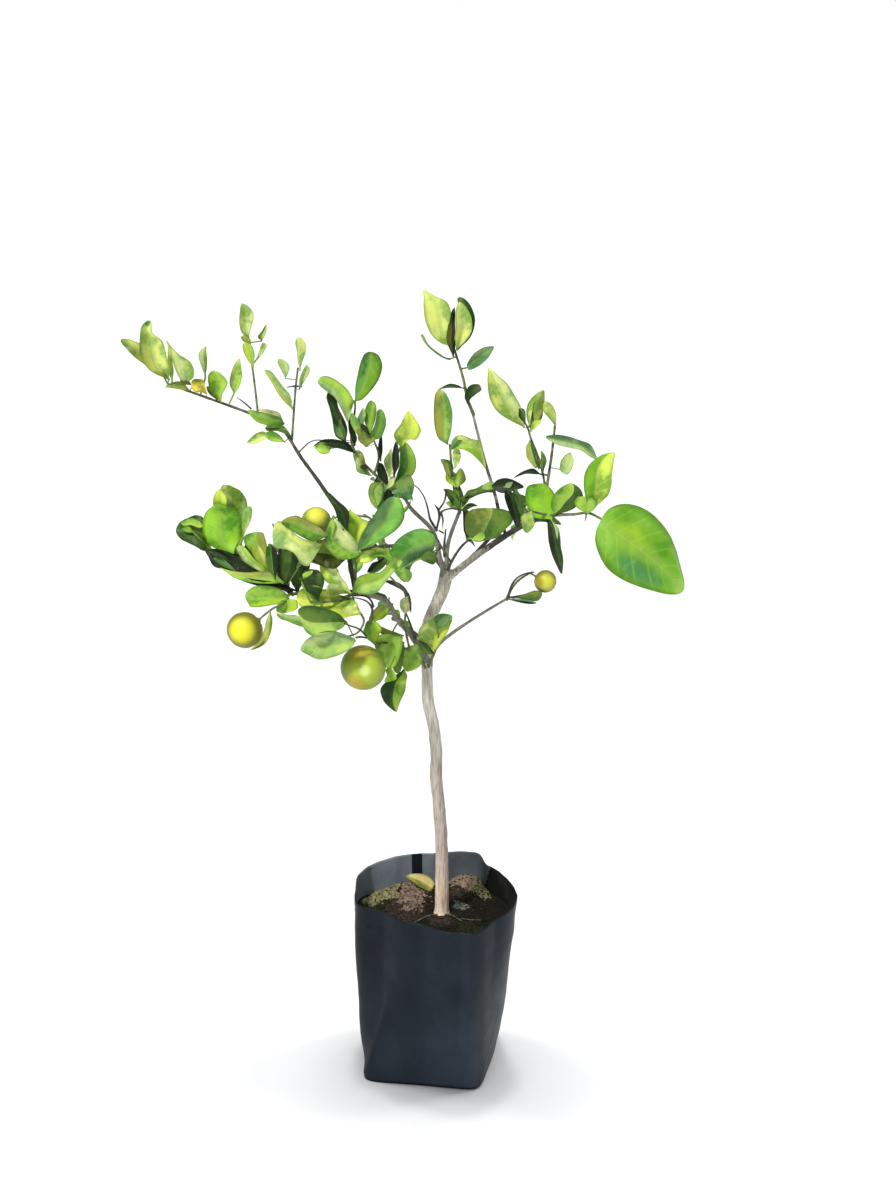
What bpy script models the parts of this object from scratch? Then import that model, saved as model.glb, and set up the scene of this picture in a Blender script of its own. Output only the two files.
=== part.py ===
# A young minneola tangelo tree in a black polythene grow bag: the bag, its
# potting mix, the trunk, each bough, and each mass of twigs, leaves and fruit.
# Millimetres in the sizes below, metres in the model, Z up. The origin is the
# middle of the bag's flat underside, and -Y is the side that the tree is seen from.

import math
import random

import bmesh
import bpy
from mathutils import Matrix, Vector
from mathutils.bvhtree import BVHTree

MM = 0.001
GAP = 0.3                      # kept between pieces that meet

# Grow bag: a square foot that opens into an uneven, pinched mouth
FOOT_HALF = 68.0               # half the side of the square foot
FOOT_TURN = math.radians(-9.6)
FOOT_SQUARENESS = 7.0          # exponent of the foot's rounded square
FOOT_ROUNDING = 2.0            # how far the underside draws in at its edge
BULGE = (3.6, 1.3)             # how soon the walls swell to the mouth's width, left and right
FILM = 1.4                     # wall of the bag
MOUTH_CENTRE = (5.0, 12.0)
WALL_HEIGHTS = (0.0, 4.0, 28.0, 64.0, 100.0, 136.0, 168.0)
AROUND = 36
# The mouth's edge, as direction in degrees, distance from its centre, and height
MOUTH = (
    (-176, 92, 190), (-146, 67, 190), (-106, 67, 189), (-72, 88, 188),
    (-66, 97, 188), (-40, 88, 190), (-15, 92, 193), (-2, 93, 195),
    (20, 90, 199), (46, 89, 203), (64, 104, 208), (92, 87, 210),
    (121, 90, 210), (142, 100, 205), (153, 101, 201), (174, 94, 192),
)

# Potting mix: a low heap that is level where the trunk stands
SOIL_TOP = 174.0
SOIL_RELIEF = 3.5
TRUNK_FOOT = (12.0, 8.0)
LEVEL_SPOT = 14.0              # radius of the level spot under the trunk

# Trunk and boughs: places that each passes, and its radius at both ends
TRUNK_ROUTE = (
    (12, 8, SOIL_TOP + GAP), (12, 8, 178), (12, 8, 184), (11.6, 8, 262), (8.8, 8.5, 305),
    (5.7, 9, 339), (6.2, 9, 364), (3, 9, 396), (-3, 8, 427), (-4, 8, 460), (-3.5, 8, 481),
)
TRUNK_RADII = (9.6, 8.4, 7.8, 7.1, 7.0, 6.9, 6.8, 6.6, 6.5, 6.2, 6.4)
BOUGHS = {
    "bough_leader": ((-3.5, 8, 477), (-3, 10, 512), (7, 13, 536), (14, 14, 553), (18, 14, 574)),
    "bough_right": ((15, 14, 561), (28, 6, 577), (53, -6, 599), (94, -26, 629), (121, -40, 642)),
    "bough_low_left": ((-3, 8, 470), (-20, -6, 504), (-36, -26, 529), (-47, -40, 551), (-79, -62, 565)),
    "bough_low_right": ((-3, 9, 470), (5, 12, 485), (19, 20, 497), (49, 36, 514), (86, 48, 534)),
    "bough_centre_left": ((16, 14, 568), (10, 10, 588), (3, 4, 617), (-20, -4, 643), (-27, -6, 655)),
    "bough_centre": ((18, 14, 570), (18, 16, 595), (23, 14, 615), (32, 12, 639)),
    "bough_back": ((17, 14, 566), (10, 30, 577), (-12, 64, 588), (-54, 105, 582)),
    "bough_back_right": ((19, 14, 566), (30, 28, 578), (52, 54, 598), (83, 85, 615)),
    "bough_back_low": ((-3.5, 9, 468), (-6, 24, 479), (-12, 54, 486), (-27, 90, 489)),
    "bough_left_low": ((-77, -61, 565), (-108, -70, 568), (-145, -58, 562)),
    "bough_left_long": ((-77, -60, 565), (-84, -42, 595), (-90, -12, 626), (-115, 23, 660), (-143, 53, 692)),
    "bough_top": ((73, -16, 611), (72, -6, 645), (58, 10, 693), (45, 24, 743)),
    "bough_back_left": ((-52, 104, 582), (-92, 116, 574), (-148, 114, 562)),
}
BOUGH_RADII = {
    "bough_leader": (6.2, 7.6), "bough_right": (4.4, 2.8), "bough_low_left": (3.9, 2.6),
    "bough_low_right": (2.8, 1.6), "bough_centre_left": (3.0, 2.0), "bough_centre": (2.8, 2.0),
    "bough_back": (3.4, 2.2), "bough_back_right": (3.0, 2.0), "bough_back_low": (3.0, 2.0),
    "bough_left_low": (2.4, 1.9), "bough_left_long": (2.9, 2.1), "bough_top": (2.3, 1.6),
    "bough_back_left": (2.3, 1.8),
}

# Masses of foliage. Each has a stem that starts in its bough's tip, side shoots,
# and rows of leaves that stand where they show: how far along the shoot, which
# way the blade points on a clock face, and its length and width as seen.
MASSES = {
    "foliage_left": {
        "stem": ((-142, 52, 691), (-166, 60, 725), (-198, 68, 737), (-257, 78, 757), (-290, 83, 768)),
        "shoots": {
            "tall": ((-189, 66, 734), (-193, 70, 773), (-198, 74, 814)),
            "short": ((-152, 56, 706), (-146, 52, 766), (-143, 52, 788)),
        },
        "leaves": {
            "stem": ((1.0, 10.5, 70, 24), (1.0, 11.7, 72, 27), (.95, 11.7, 51, 24), (.83, 9.1, 31, 12),
                     (.79, .4, 54, 12), (.65, 11.6, 35, 18), (.56, .2, 51, 14), (.24, 9.9, 36, 17),
                     (.14, 8.7, 48, 14), (.21, 9.5, 21, 10)),
            "tall": ((1.0, 11.7, 43, 15), (.67, 11.4, 28, 14), (.72, 1.4, 29, 8), (.95, 1.3, 31, 8)),
            "short": ((.54, 10.5, 48, 12), (.76, 11.1, 33, 11), (.94, .1, 37, 11), (.78, 1.1, 27, 8)),
        },
    },
    "foliage_centre_left": {
        "stem": ((-26, -6, 654), (-37, -10, 664), (-63, -18, 687), (-81, -24, 714), (-77, -26, 752)),
        "shoots": {
            "side": ((-37, -10, 664), (-37, -22, 692), (-30, -26, 713)),
            "ball": ((-58, -16, 683), (-53, -32, 704), (-59, -40, 725)),
        },
        "leaves": {
            "stem": ((1.0, 10.2, 48, 14), (.90, 10.4, 35, 13), (1.0, .6, 61, 26), (.69, 11.1, 58, 14),
                     (.64, 9.3, 41, 13), (.25, 7.0, 33, 18), (.16, 4.1, 26, 24)),
            "ball": ((.92, 10.9, 39, 21), (.91, .6, 38, 17), (.81, 11.6, 35, 21), (.66, 5.8, 29, 12)),
            "side": ((1.0, .4, 36, 20), (.22, .7, 44, 20), (.38, .1, 33, 15)),
        },
    },
    "foliage_middle": {
        "stem": ((-78, -61, 565), (-76, -74, 589), (-75, -80, 613), (-82, -88, 629)),
        "shoots": {"side": ((-79, -83, 617), (-95, -92, 626), (-112, -96, 632))},
        "leaves": {
            "stem": ((.73, 1.3, 68, 25), (.95, 1.0, 37, 21), (.83, 10.2, 33, 24), (1.0, 10.9, 55, 13),
                     (.46, 2.2, 37, 18), (.51, 9.3, 27, 18)),
            "side": ((.79, 9.8, 46, 17), (.86, 8.5, 52, 35), (.53, 7.6, 42, 15)),
        },
        "fruit": {"side": (.9, (-115, -78, 642), 15.3)},
    },
    "foliage_low_middle": {
        "stem": ((-77, -62, 564), (-92, -80, 562), (-110, -86, 560), (-122, -88, 561)),
        "shoots": {"drop": ((-86, -74, 562), (-68, -80, 541), (-73, -88, 529), (-84, -92, 525))},
        "leaves": {
            "stem": ((.30, 10.8, 40, 27), (.64, 9.3, 31, 25), (.48, 6.8, 22, 20), (.77, 10.7, 37, 16),
                     (.94, .5, 38, 20), (.25, 4.8, 29, 18), (.77, 7.7, 34, 13)),
            "drop": ((.61, 9.0, 65, 23), (.88, 8.4, 59, 31)),
        },
    },
    "foliage_low_left": {
        "stem": ((-143, -58, 562), (-160, -54, 572), (-192, -42, 595), (-209, -36, 601), (-230, -28, 602)),
        "shoots": {
            "near": ((-146, -58, 563), (-150, -76, 557), (-162, -84, 552), (-176, -88, 541)),
            "far": ((-160, -54, 572), (-172, -22, 580), (-181, 2, 591)),
        },
        "leaves": {
            "stem": ((.80, 11.4, 51, 38), (.72, 11.9, 79, 29), (.67, .4, 56, 14), (.99, 10.3, 50, 21),
                     (1.0, 9.7, 33, 13), (.81, 8.5, 42, 13), (.44, 10.5, 32, 14), (.40, 11.8, 44, 22),
                     (.15, 9.4, 61, 13), (.06, 8.9, 43, 20), (.07, 0.0, 43, 17)),
            "near": ((.19, 7.0, 21, 15), (.45, 4.6, 29, 15), (.65, 7.0, 51, 12)),
            "far": ((.28, .1, 34, 13), (.40, 1.6, 38, 18), (1.0, 11.0, 46, 20), (.9, 2.0, 40, 18)),
        },
        "fruit": {"near": (1.0, (-189, -92, 532), 18.8)},
    },
    "foliage_fork": {
        "stem": ((-3.5, 6, 462), (-18, -8, 485), (-31, -20, 495), (-43, -32, 503), (-55, -44, 505)),
        "shoots": {"bud": ((-22, -12, 488), (-27, -24, 520), (-26, -34, 556), (-42, -52, 580))},
        "leaves": {
            "stem": ((.83, 11.2, 44, 18), (.97, 11.0, 30, 16), (.66, 7.5, 30, 27), (.57, 10.1, 31, 12),
                     (.50, 5.1, 27, 20), (.56, 6.2, 74, 29), (.67, 6.5, 48, 14)),
            "bud": ((.45, 11.8, 20, 11), (.95, 8.3, 48, 19), (.63, 7.8, 27, 12)),
        },
        "fruit": {"stem": (.95, (-70, -66, 485), 24.0)},
    },
    "foliage_fork_right": {
        "stem": ((-3.5, 6, 464), (3, -10, 483), (9, -20, 501)),
        "shoots": {},
        "leaves": {"stem": ((.69, 1.0, 43, 28), (.86, 11.0, 36, 17), (.96, 5.8, 18, 11))},
    },
    "foliage_top": {
        "stem": ((46, 23, 741), (40, 26, 756), (35, 30, 779), (26, 35, 808)),
        "shoots": {},
        "leaves": {
            "stem": ((1.0, 11.1, 71, 30), (1.0, .2, 57, 21), (.98, .8, 47, 14), (.97, 9.9, 41, 9),
                     (.54, 1.4, 48, 14), (.16, 1.0, 26, 13), (.42, 8.7, 29, 8)),
        },
    },
    "foliage_centre": {
        "stem": ((31.5, 12, 637), (26, 10, 661), (23, 6, 683), (21, 2, 711)),
        "shoots": {"side": ((29, 11, 648), (44, -8, 660), (59, -16, 665))},
        "leaves": {
            "stem": ((1.0, 11.7, 58, 19), (.97, 3.5, 35, 14), (.49, 11.2, 25, 12), (.40, .8, 25, 12),
                     (.67, 11.3, 25, 12), (.30, 7.8, 19, 13)),
            "side": ((.68, 2.6, 27, 11), (.47, 3.9, 34, 11), (.95, 2.4, 43, 13)),
        },
    },
    "foliage_inner": {
        "stem": ((18, 13, 571), (23, -8, 587), (32, -26, 605), (40, -36, 615)),
        "shoots": {"hanging": ((22, -4, 585), (12, -20, 605), (5, -36, 621), (-2, -50, 628))},
        "leaves": {
            "stem": ((.98, 2.1, 54, 32),),
            "hanging": ((.87, 7.4, 58, 27), (.71, 9.3, 29, 21)),
        },
    },
    "foliage_right": {
        "stem": ((119, -39, 641), (135, -54, 645), (148, -68, 648), (161, -84, 652), (173, -104, 649)),
        "shoots": {"inward": ((124, -43, 643), (110, -58, 648), (103, -68, 652))},
        "leaves": {
            "stem": ((.98, 4.4, 115, 74), (.65, .7, 71, 25), (.17, .8, 37, 26), (.51, 1.8, 27, 14),
                     (.10, 5.5, 72, 15), (.34, 2.6, 25, 14)),
            "inward": ((.34, 10.8, 36, 38), (.48, 10.2, 37, 14), (.48, 6.1, 22, 20)),
        },
    },
    "foliage_right_upper": {
        "stem": ((120, -39, 641), (122, -24, 663), (128, -10, 701), (132, -2, 735)),
        "shoots": {"side": ((122, -22, 667), (115, -12, 696), (106, -4, 719), (103, 0, 729))},
        "leaves": {
            "stem": ((.97, 11.0, 31, 12), (.66, 11.2, 21, 10), (.74, 3.5, 48, 12), (.42, 1.4, 36, 12),
                     (.40, 9.7, 25, 9)),
            "side": ((1.0, 10.9, 74, 24), (.96, 11.2, 28, 10), (.96, 11.9, 34, 17), (.89, .7, 48, 13),
                     (.80, 5.4, 31, 12)),
        },
    },
    "foliage_low_right": {
        "stem": ((84.5, 47.5, 533), (90, 52, 544), (98, 54, 553), (110, 54, 561)),
        "shoots": {},
        "leaves": {"stem": ((.12, 3.4, 37, 12), (.34, 2.8, 27, 10))},
        "fruit": {"stem": (1.0, (126, 54, 553), 12.0)},
    },
    "foliage_back": {
        "stem": ((-52.5, 103.5, 582), (-58, 122, 592), (-68, 142, 604), (-80, 166, 608)),
        "spread": (3, 38, 4, 46),
    },
    "foliage_back_left": {
        "stem": ((-146, 114, 562), (-162, 122, 566), (-180, 128, 574), (-200, 132, 572)),
        "spread": (3, 36, 4, 46),
    },
    "foliage_back_right": {
        "stem": ((81.5, 83.5, 614), (92, 94, 620), (104, 106, 628), (116, 118, 632)),
        "spread": (2, 28, 3, 38),
    },
    "foliage_back_low": {
        "stem": ((-26.5, 88.5, 489), (-34, 104, 494), (-44, 120, 498), (-56, 136, 494)),
        "spread": (2, 30, 3, 42),
    },
}
STEM_RADII = (1.9, 1.2)
SHOOT_RADII = (1.3, 1.0)
STALK_RADIUS = 1.1

# Leaf: a petiole, then a blade that is folded along its midrib and arched
LEAF_RATIO = 0.46              # a flat blade's width to its length
LEAF_STATIONS = ((0.0, 0.0), (0.11, 0.0), (0.34, 0.93), (0.70, 0.80))
LARGE_STATIONS = ((0.0, 0.0), (0.08, 0.0), (0.19, 0.66), (0.40, 1.0), (0.65, 0.95), (0.86, 0.56))
LARGE_LENGTH = 90.0
PETIOLE_HALF = 0.8
LEAF_THICKNESS = 0.022         # at the midrib, as a share of the length
LEAN_SPAN = 26.0               # leaves lean up to this much to the front or back
GOLDEN_SHARE = 0.618034        # share of a turn from each leaf to the next
VIEW = Vector((0.0, -0.975, 0.222))
TURNS_TRIED = (0, 9, -9, 18, -18, 27, -27)
FIRST_SEED = 20

COLOURS = {
    "bag": ((0.018, 0.022, 0.028, 1.0), 0.38),
    "mix": ((0.075, 0.055, 0.035, 1.0), 0.95),
    "bark": ((0.42, 0.36, 0.29, 1.0), 0.85),
    "leaf": ((0.23, 0.42, 0.07, 1.0), 0.45),
}


def clear_scene():
    for thing in list(bpy.data.objects):
        bpy.data.objects.remove(thing, do_unlink=True)


def new_collection(name):
    collection = bpy.data.collections.new(name)
    bpy.context.scene.collection.children.link(collection)
    return collection


def material(name, kind):
    colour, roughness = COLOURS[kind]
    made = bpy.data.materials.new(name)
    made.use_nodes = True
    shader = made.node_tree.nodes["Principled BSDF"]
    shader.inputs["Base Color"].default_value = colour
    shader.inputs["Roughness"].default_value = roughness
    shader.inputs["Metallic"].default_value = 0.0
    made.diffuse_color = colour
    return made


def object_from(name, bm, collection):
    bmesh.ops.recalc_face_normals(bm, faces=bm.faces)
    mesh = bpy.data.meshes.new(name)
    bm.to_mesh(mesh)
    bm.free()
    made = bpy.data.objects.new(name, mesh)
    collection.objects.link(made)
    return made


def smooth(share):
    share = min(1.0, max(0.0, share))
    return share * share * (3.0 - 2.0 * share)


def vector(place):
    return Vector(place) * MM


def loft(rings, close_start=True, close_end=True):
    """A skin over rings of equal point counts, with flat ends.

    Each quad is split from its lower left to its upper right, so that two skins
    that run side by side keep the same distance all over.
    """
    bm = bmesh.new()
    rows = [[bm.verts.new(place) for place in ring] for ring in rings]
    count = len(rows[0])
    for lower, upper in zip(rows, rows[1:]):
        for k in range(count):
            after = (k + 1) % count
            corners = (lower[k], lower[after], upper[after], upper[k])
            climbs = lower[k].co.z <= upper[k].co.z
            for split in ((0, 1, 2), (0, 2, 3)) if climbs else ((0, 1, 3), (1, 2, 3)):
                bm.faces.new([corners[at] for at in split])
    if close_start:
        bm.faces.new(list(reversed(rows[0])))
    if close_end:
        bm.faces.new(rows[-1])
    return bm


# Grow bag and potting mix


def foot_radius(angle):
    turned = angle - FOOT_TURN
    power = abs(math.cos(turned)) ** FOOT_SQUARENESS + abs(math.sin(turned)) ** FOOT_SQUARENESS
    return FOOT_HALF / power ** (1.0 / FOOT_SQUARENESS)


def mouth_edge(angle):
    """Distance from the mouth's centre and height of its edge in a direction."""
    degrees = math.degrees(angle)
    first = MOUTH[0][0]
    while degrees < first:
        degrees += 360.0
    for k, (start, radius, height) in enumerate(MOUTH):
        end, next_radius, next_height = MOUTH[(k + 1) % len(MOUTH)]
        if k == len(MOUTH) - 1:
            end += 360.0
        if start <= degrees <= end:
            share = smooth((degrees - start) / (end - start))
            return radius + (next_radius - radius) * share, height + (next_height - height) * share
    return MOUTH[0][1], MOUTH[0][2]


def wall_place(angle, height, inset):
    radius, rim = mouth_edge(angle)
    bulge = BULGE[0] + (BULGE[1] - BULGE[0]) * (0.5 + 0.5 * math.cos(angle))
    blend = 1.0 - (1.0 - min(1.0, height / rim)) ** bulge
    reach = foot_radius(angle) * (1.0 - blend) + radius * blend - inset
    return vector((
        MOUTH_CENTRE[0] * blend + reach * math.cos(angle),
        MOUTH_CENTRE[1] * blend + reach * math.sin(angle),
        height,
    ))


def around():
    return [math.tau * k / AROUND - math.pi for k in range(AROUND)]


def wall_rings(inset, floor):
    """Rings up the filled wall, from the floor to the edge of the mix."""
    rings = [[wall_place(a, WALL_HEIGHTS[0], inset + FOOT_ROUNDING) for a in around()]]
    for place in rings[0]:
        place.z = floor * MM
    rings += [[wall_place(a, height, inset) for a in around()] for height in WALL_HEIGHTS[1:]]
    return rings


def mouth_rings(inset):
    """Rings up the loose mouth, above the mix."""
    rings = []
    for share in (0.5, 1.0):
        ring = []
        for angle in around():
            rim = mouth_edge(angle)[1]
            ring.append(wall_place(angle, WALL_HEIGHTS[-1] + (rim - WALL_HEIGHTS[-1]) * share, inset))
        rings.append(ring)
    return rings


def grow_bag(collection):
    outside = wall_rings(0.0, 0.0) + mouth_rings(0.0)
    inside = wall_rings(FILM, FILM) + mouth_rings(FILM)
    bag = object_from("grow_bag", loft(outside + inside[::-1]), collection)
    bag.data.materials.append(material("black_polythene", "bag"))
    bag.data.shade_smooth()
    bag.data.set_sharp_from_angle(angle=math.radians(40))


def potting_mix(collection):
    rings = wall_rings(FILM + GAP, FILM + GAP)
    edge = rings[-1]
    for share in (0.86, 0.62, 0.38, 0.0):
        ring = []
        for angle, outer in zip(around(), edge):
            inner = vector((
                TRUNK_FOOT[0] + LEVEL_SPOT * math.cos(angle),
                TRUNK_FOOT[1] + LEVEL_SPOT * math.sin(angle),
                SOIL_TOP,
            ))
            place = inner.lerp(outer, share)
            lumps = math.sin(3.0 * angle + 9.0 * share) + math.sin(5.0 * angle - 14.0 * share)
            place.z += SOIL_RELIEF * MM * lumps * 0.5 * math.sin(math.pi * share)
            ring.append(place)
        rings.append(ring)
    mix = object_from("potting_mix", loft(rings), collection)
    mix.data.materials.append(material("potting_mix", "mix"))


# Trunk and boughs


def smooth_route(points, radii, steps):
    """A curve through the points, with its radius, as steps for each stretch."""
    places = [Vector(point) for point in points]
    last = len(places) - 1
    slopes = []
    for k, place in enumerate(places):
        before, after = places[max(k - 1, 0)], places[min(k + 1, last)]
        slopes.append((after - before) / ((place - before).length + (after - place).length))
    route = []
    for k in range(last):
        start, end = places[k], places[k + 1]
        span = (end - start).length
        for step in range(steps):
            t = step / steps
            ease = smooth(t)
            bend = start.lerp(end, ease)
            bend += slopes[k] * (span * t * (1.0 - t) ** 2) - slopes[k + 1] * (span * t * t * (1.0 - t))
            route.append((bend, radii[k] + (radii[k + 1] - radii[k]) * t))
    route.append((places[-1], radii[-1]))
    return route


def even_radii(ends, count):
    return [ends[0] + (ends[1] - ends[0]) * k / (count - 1) for k in range(count)]


def tube(name, route, roundness, collection, grow=0.0):
    """A tapering round limb with filled ends, as a mesh."""
    places = [place.copy() for place, _ in route]
    if grow:
        places[0] += (places[0] - places[1]).normalized() * grow
        places[-1] += (places[-1] - places[-2]).normalized() * grow
    curve = bpy.data.curves.new(name, "CURVE")
    curve.dimensions = "3D"
    curve.bevel_depth = MM
    curve.bevel_resolution = roundness
    curve.use_fill_caps = True
    spline = curve.splines.new("POLY")
    spline.points.add(len(route) - 1)
    for point, place, (_, radius) in zip(spline.points, places, route):
        point.co = (*(place * MM), 1.0)
        point.radius = radius + grow
    drawn = bpy.data.objects.new(name + "_curve", curve)
    collection.objects.link(drawn)
    graph = bpy.context.evaluated_depsgraph_get()
    mesh = bpy.data.meshes.new_from_object(drawn.evaluated_get(graph))
    bpy.data.objects.remove(drawn, do_unlink=True)
    bpy.data.curves.remove(curve)
    bm = bmesh.new()
    bm.from_mesh(mesh)
    bpy.data.meshes.remove(mesh)
    bmesh.ops.remove_doubles(bm, verts=bm.verts, dist=1e-6)
    return object_from(name, bm, collection)


def skin_tree(thing):
    bm = bmesh.new()
    bm.from_mesh(thing.data)
    tree = BVHTree.FromBMesh(bm)
    bm.free()
    return tree


def apply_boolean(thing, operation, solver, other=None, group=None):
    change = thing.modifiers.new(operation.lower(), "BOOLEAN")
    change.operation = operation
    change.solver = solver
    if group is None:
        change.object = other
    else:
        change.operand_type = "COLLECTION"
        change.collection = group
    graph = bpy.context.evaluated_depsgraph_get()
    result = bpy.data.meshes.new_from_object(thing.evaluated_get(graph))
    thing.modifiers.remove(change)
    return result


def keep_main_body(thing, mesh):
    """Puts the mesh on the object, less any scrap that is loose from it."""
    bm = bmesh.new()
    bm.from_mesh(mesh)
    bpy.data.meshes.remove(mesh)
    bmesh.ops.remove_doubles(bm, verts=bm.verts, dist=1e-6)
    bmesh.ops.dissolve_degenerate(bm, edges=bm.edges, dist=1e-7)
    unseen = set(bm.verts)
    bodies = []
    while unseen:
        body = {unseen.pop()}
        edge = list(body)
        while edge:
            for link in edge.pop().link_edges:
                for vert in link.verts:
                    if vert in unseen:
                        unseen.remove(vert)
                        body.add(vert)
                        edge.append(vert)
        bodies.append(body)
    bodies.sort(key=len)
    for scrap in bodies[:-1]:
        bmesh.ops.delete(bm, geom=list(scrap), context="VERTS")
    bm.to_mesh(thing.data)
    bm.free()
    return len(bodies) - 1


def cut_clear(thing, cutters):
    """Cuts the object where it would run into a limb that is already there."""
    for cutter in cutters.values():
        for solver in ("EXACT", "MANIFOLD"):
            if skin_tree(thing).overlap(skin_tree(cutter)):
                keep_main_body(thing, apply_boolean(thing, "DIFFERENCE", solver, other=cutter))


def limbs(collection, cutter_collection):
    """Trunk and boughs, with a slightly larger cutter for each."""
    routes = {"trunk": smooth_route(TRUNK_ROUTE, TRUNK_RADII, 3)}
    for name, points in BOUGHS.items():
        routes[name] = smooth_route(points, even_radii(BOUGH_RADII[name], len(points)), 3)
    bark = material("bark", "bark")
    cutters = {}
    for name, route in routes.items():
        roundness = 3 if name == "trunk" else 2 if name == "bough_leader" else 1
        limb = tube(name, route, roundness, collection)
        cut_clear(limb, cutters)
        limb.data.materials.clear()
        limb.data.materials.append(bark)
        limb.data.shade_smooth()
        limb.data.set_sharp_from_angle(angle=math.radians(50))
        cutter = tube(name + "_clear", route, roundness, cutter_collection, GAP)
        cutter.hide_render = True
        cutter.display_type = "WIRE"
        cutters[name] = cutter
    return cutters


# Foliage


def place_on(route, share):
    """The place, direction and radius at a share of the way along a route."""
    spans = [(b[0] - a[0]).length for a, b in zip(route, route[1:])]
    left = sum(spans) * share
    for k, span in enumerate(spans):
        if left <= span or k == len(spans) - 1:
            t = min(1.0, left / span)
            start, end = route[k], route[k + 1]
            return start[0].lerp(end[0], t), (end[0] - start[0]).normalized()
        left -= span


def leaf(base, direction, facing, length, width, shape, grow=0.0):
    """A closed leaf, as a bmesh: petiole, folded and arched blade, pointed tip."""
    arch, fold = shape
    side = direction.cross(facing).normalized()
    facing = side.cross(direction).normalized()
    rings = []
    for share, spread in LARGE_STATIONS if length > LARGE_LENGTH else LEAF_STATIONS:
        lift = arch * length * 4.0 * share * (1.0 - share)
        centre = base + direction * (length * share) + facing * lift
        half = max(PETIOLE_HALF, width * 0.5 * spread) + grow
        rise = fold * half if spread else 0.0
        thick = (LEAF_THICKNESS * length if spread else PETIOLE_HALF * 1.7) * 0.5 + grow
        rings.append([
            (centre + side * half + facing * rise) * MM,
            (centre - facing * thick) * MM,
            (centre - side * half + facing * rise) * MM,
            (centre + facing * thick) * MM,
        ])
    bm = loft(rings, close_end=False)
    bm.verts.ensure_lookup_table()
    tip = bm.verts.new((base + direction * (length + grow)) * MM)
    last = bm.verts[-5:-1]
    for k in range(4):
        bm.faces.new((last[k], last[(k + 1) % 4], tip))
    start = next(face for face in bm.faces if len(face.verts) == 4 and set(face.verts) == set(bm.verts[:4]))
    bmesh.ops.triangulate(bm, faces=[start])
    bmesh.ops.recalc_face_normals(bm, faces=bm.faces)
    return bm


def is_free(bm, trees):
    tree = BVHTree.FromBMesh(bm)
    return not any(tree.overlap(other) for other in trees)


def rolled_facing(direction, roll, start):
    """The way the blade's upper side faces, rolled from facing the start."""
    facing = (start - direction * start.dot(direction)).normalized()
    choices = [Matrix.Rotation(sign * roll, 3, direction) @ facing for sign in (1, -1)]
    return max(choices, key=lambda way: way.z)


def seen_leaf(route, row, order, extra_lean):
    """A leaf from its row: clock face direction, and length and width as seen."""
    share, clock, length, width = row
    base, _ = place_on(route, share)
    lean = LEAN_SPAN * (2.0 * ((order * GOLDEN_SHARE + 0.35) % 1.0) - 1.0) + extra_lean
    lean = math.radians(lean)
    hand = math.radians(clock * 30.0)
    direction = Vector((
        math.sin(hand) * math.cos(lean), -math.sin(lean), math.cos(hand) * math.cos(lean)))
    whole = length / math.cos(math.radians(LEAN_SPAN) * 0.5)
    full_width = max(width, LEAF_RATIO * whole)
    return base, direction, rolled_facing(direction, math.acos(width / full_width), VIEW), whole, full_width


def spread_leaf(route, share, length, order, extra_lean):
    """A leaf from the spiral rule, each turned on from the one below it."""
    base, along = place_on(route, share)
    across = along.cross(Vector((0.0, 0.0, 1.0))).normalized()
    turn = math.tau * GOLDEN_SHARE * order + math.radians(extra_lean)
    out = Matrix.Rotation(turn, 3, along) @ across
    direction = (along * 0.55 + out * 0.9 + Vector((0.0, 0.0, 0.12))).normalized()
    facing = rolled_facing(direction, 0.5 * math.sin(order * 2.1), Vector((0.0, -0.2, 1.0)))
    return base, direction, facing, length, LEAF_RATIO * length


def spread_shoots(stem, count, reach):
    """Side shoots from the spiral rule."""
    shoots = []
    for k in range(count):
        start, along = place_on(stem, 0.35 + 0.5 * k / max(1, count - 1))
        across = along.cross(Vector((0.0, 0.0, 1.0))).normalized()
        out = Matrix.Rotation(math.tau * GOLDEN_SHARE * (k + 0.4), 3, along) @ across
        heading = (along * 0.7 + out).normalized()
        middle = start + heading * reach * 0.5 + Vector((0.0, 0.0, 2.0))
        shoots.append((start, middle, start + heading * reach))
    return shoots


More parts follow.
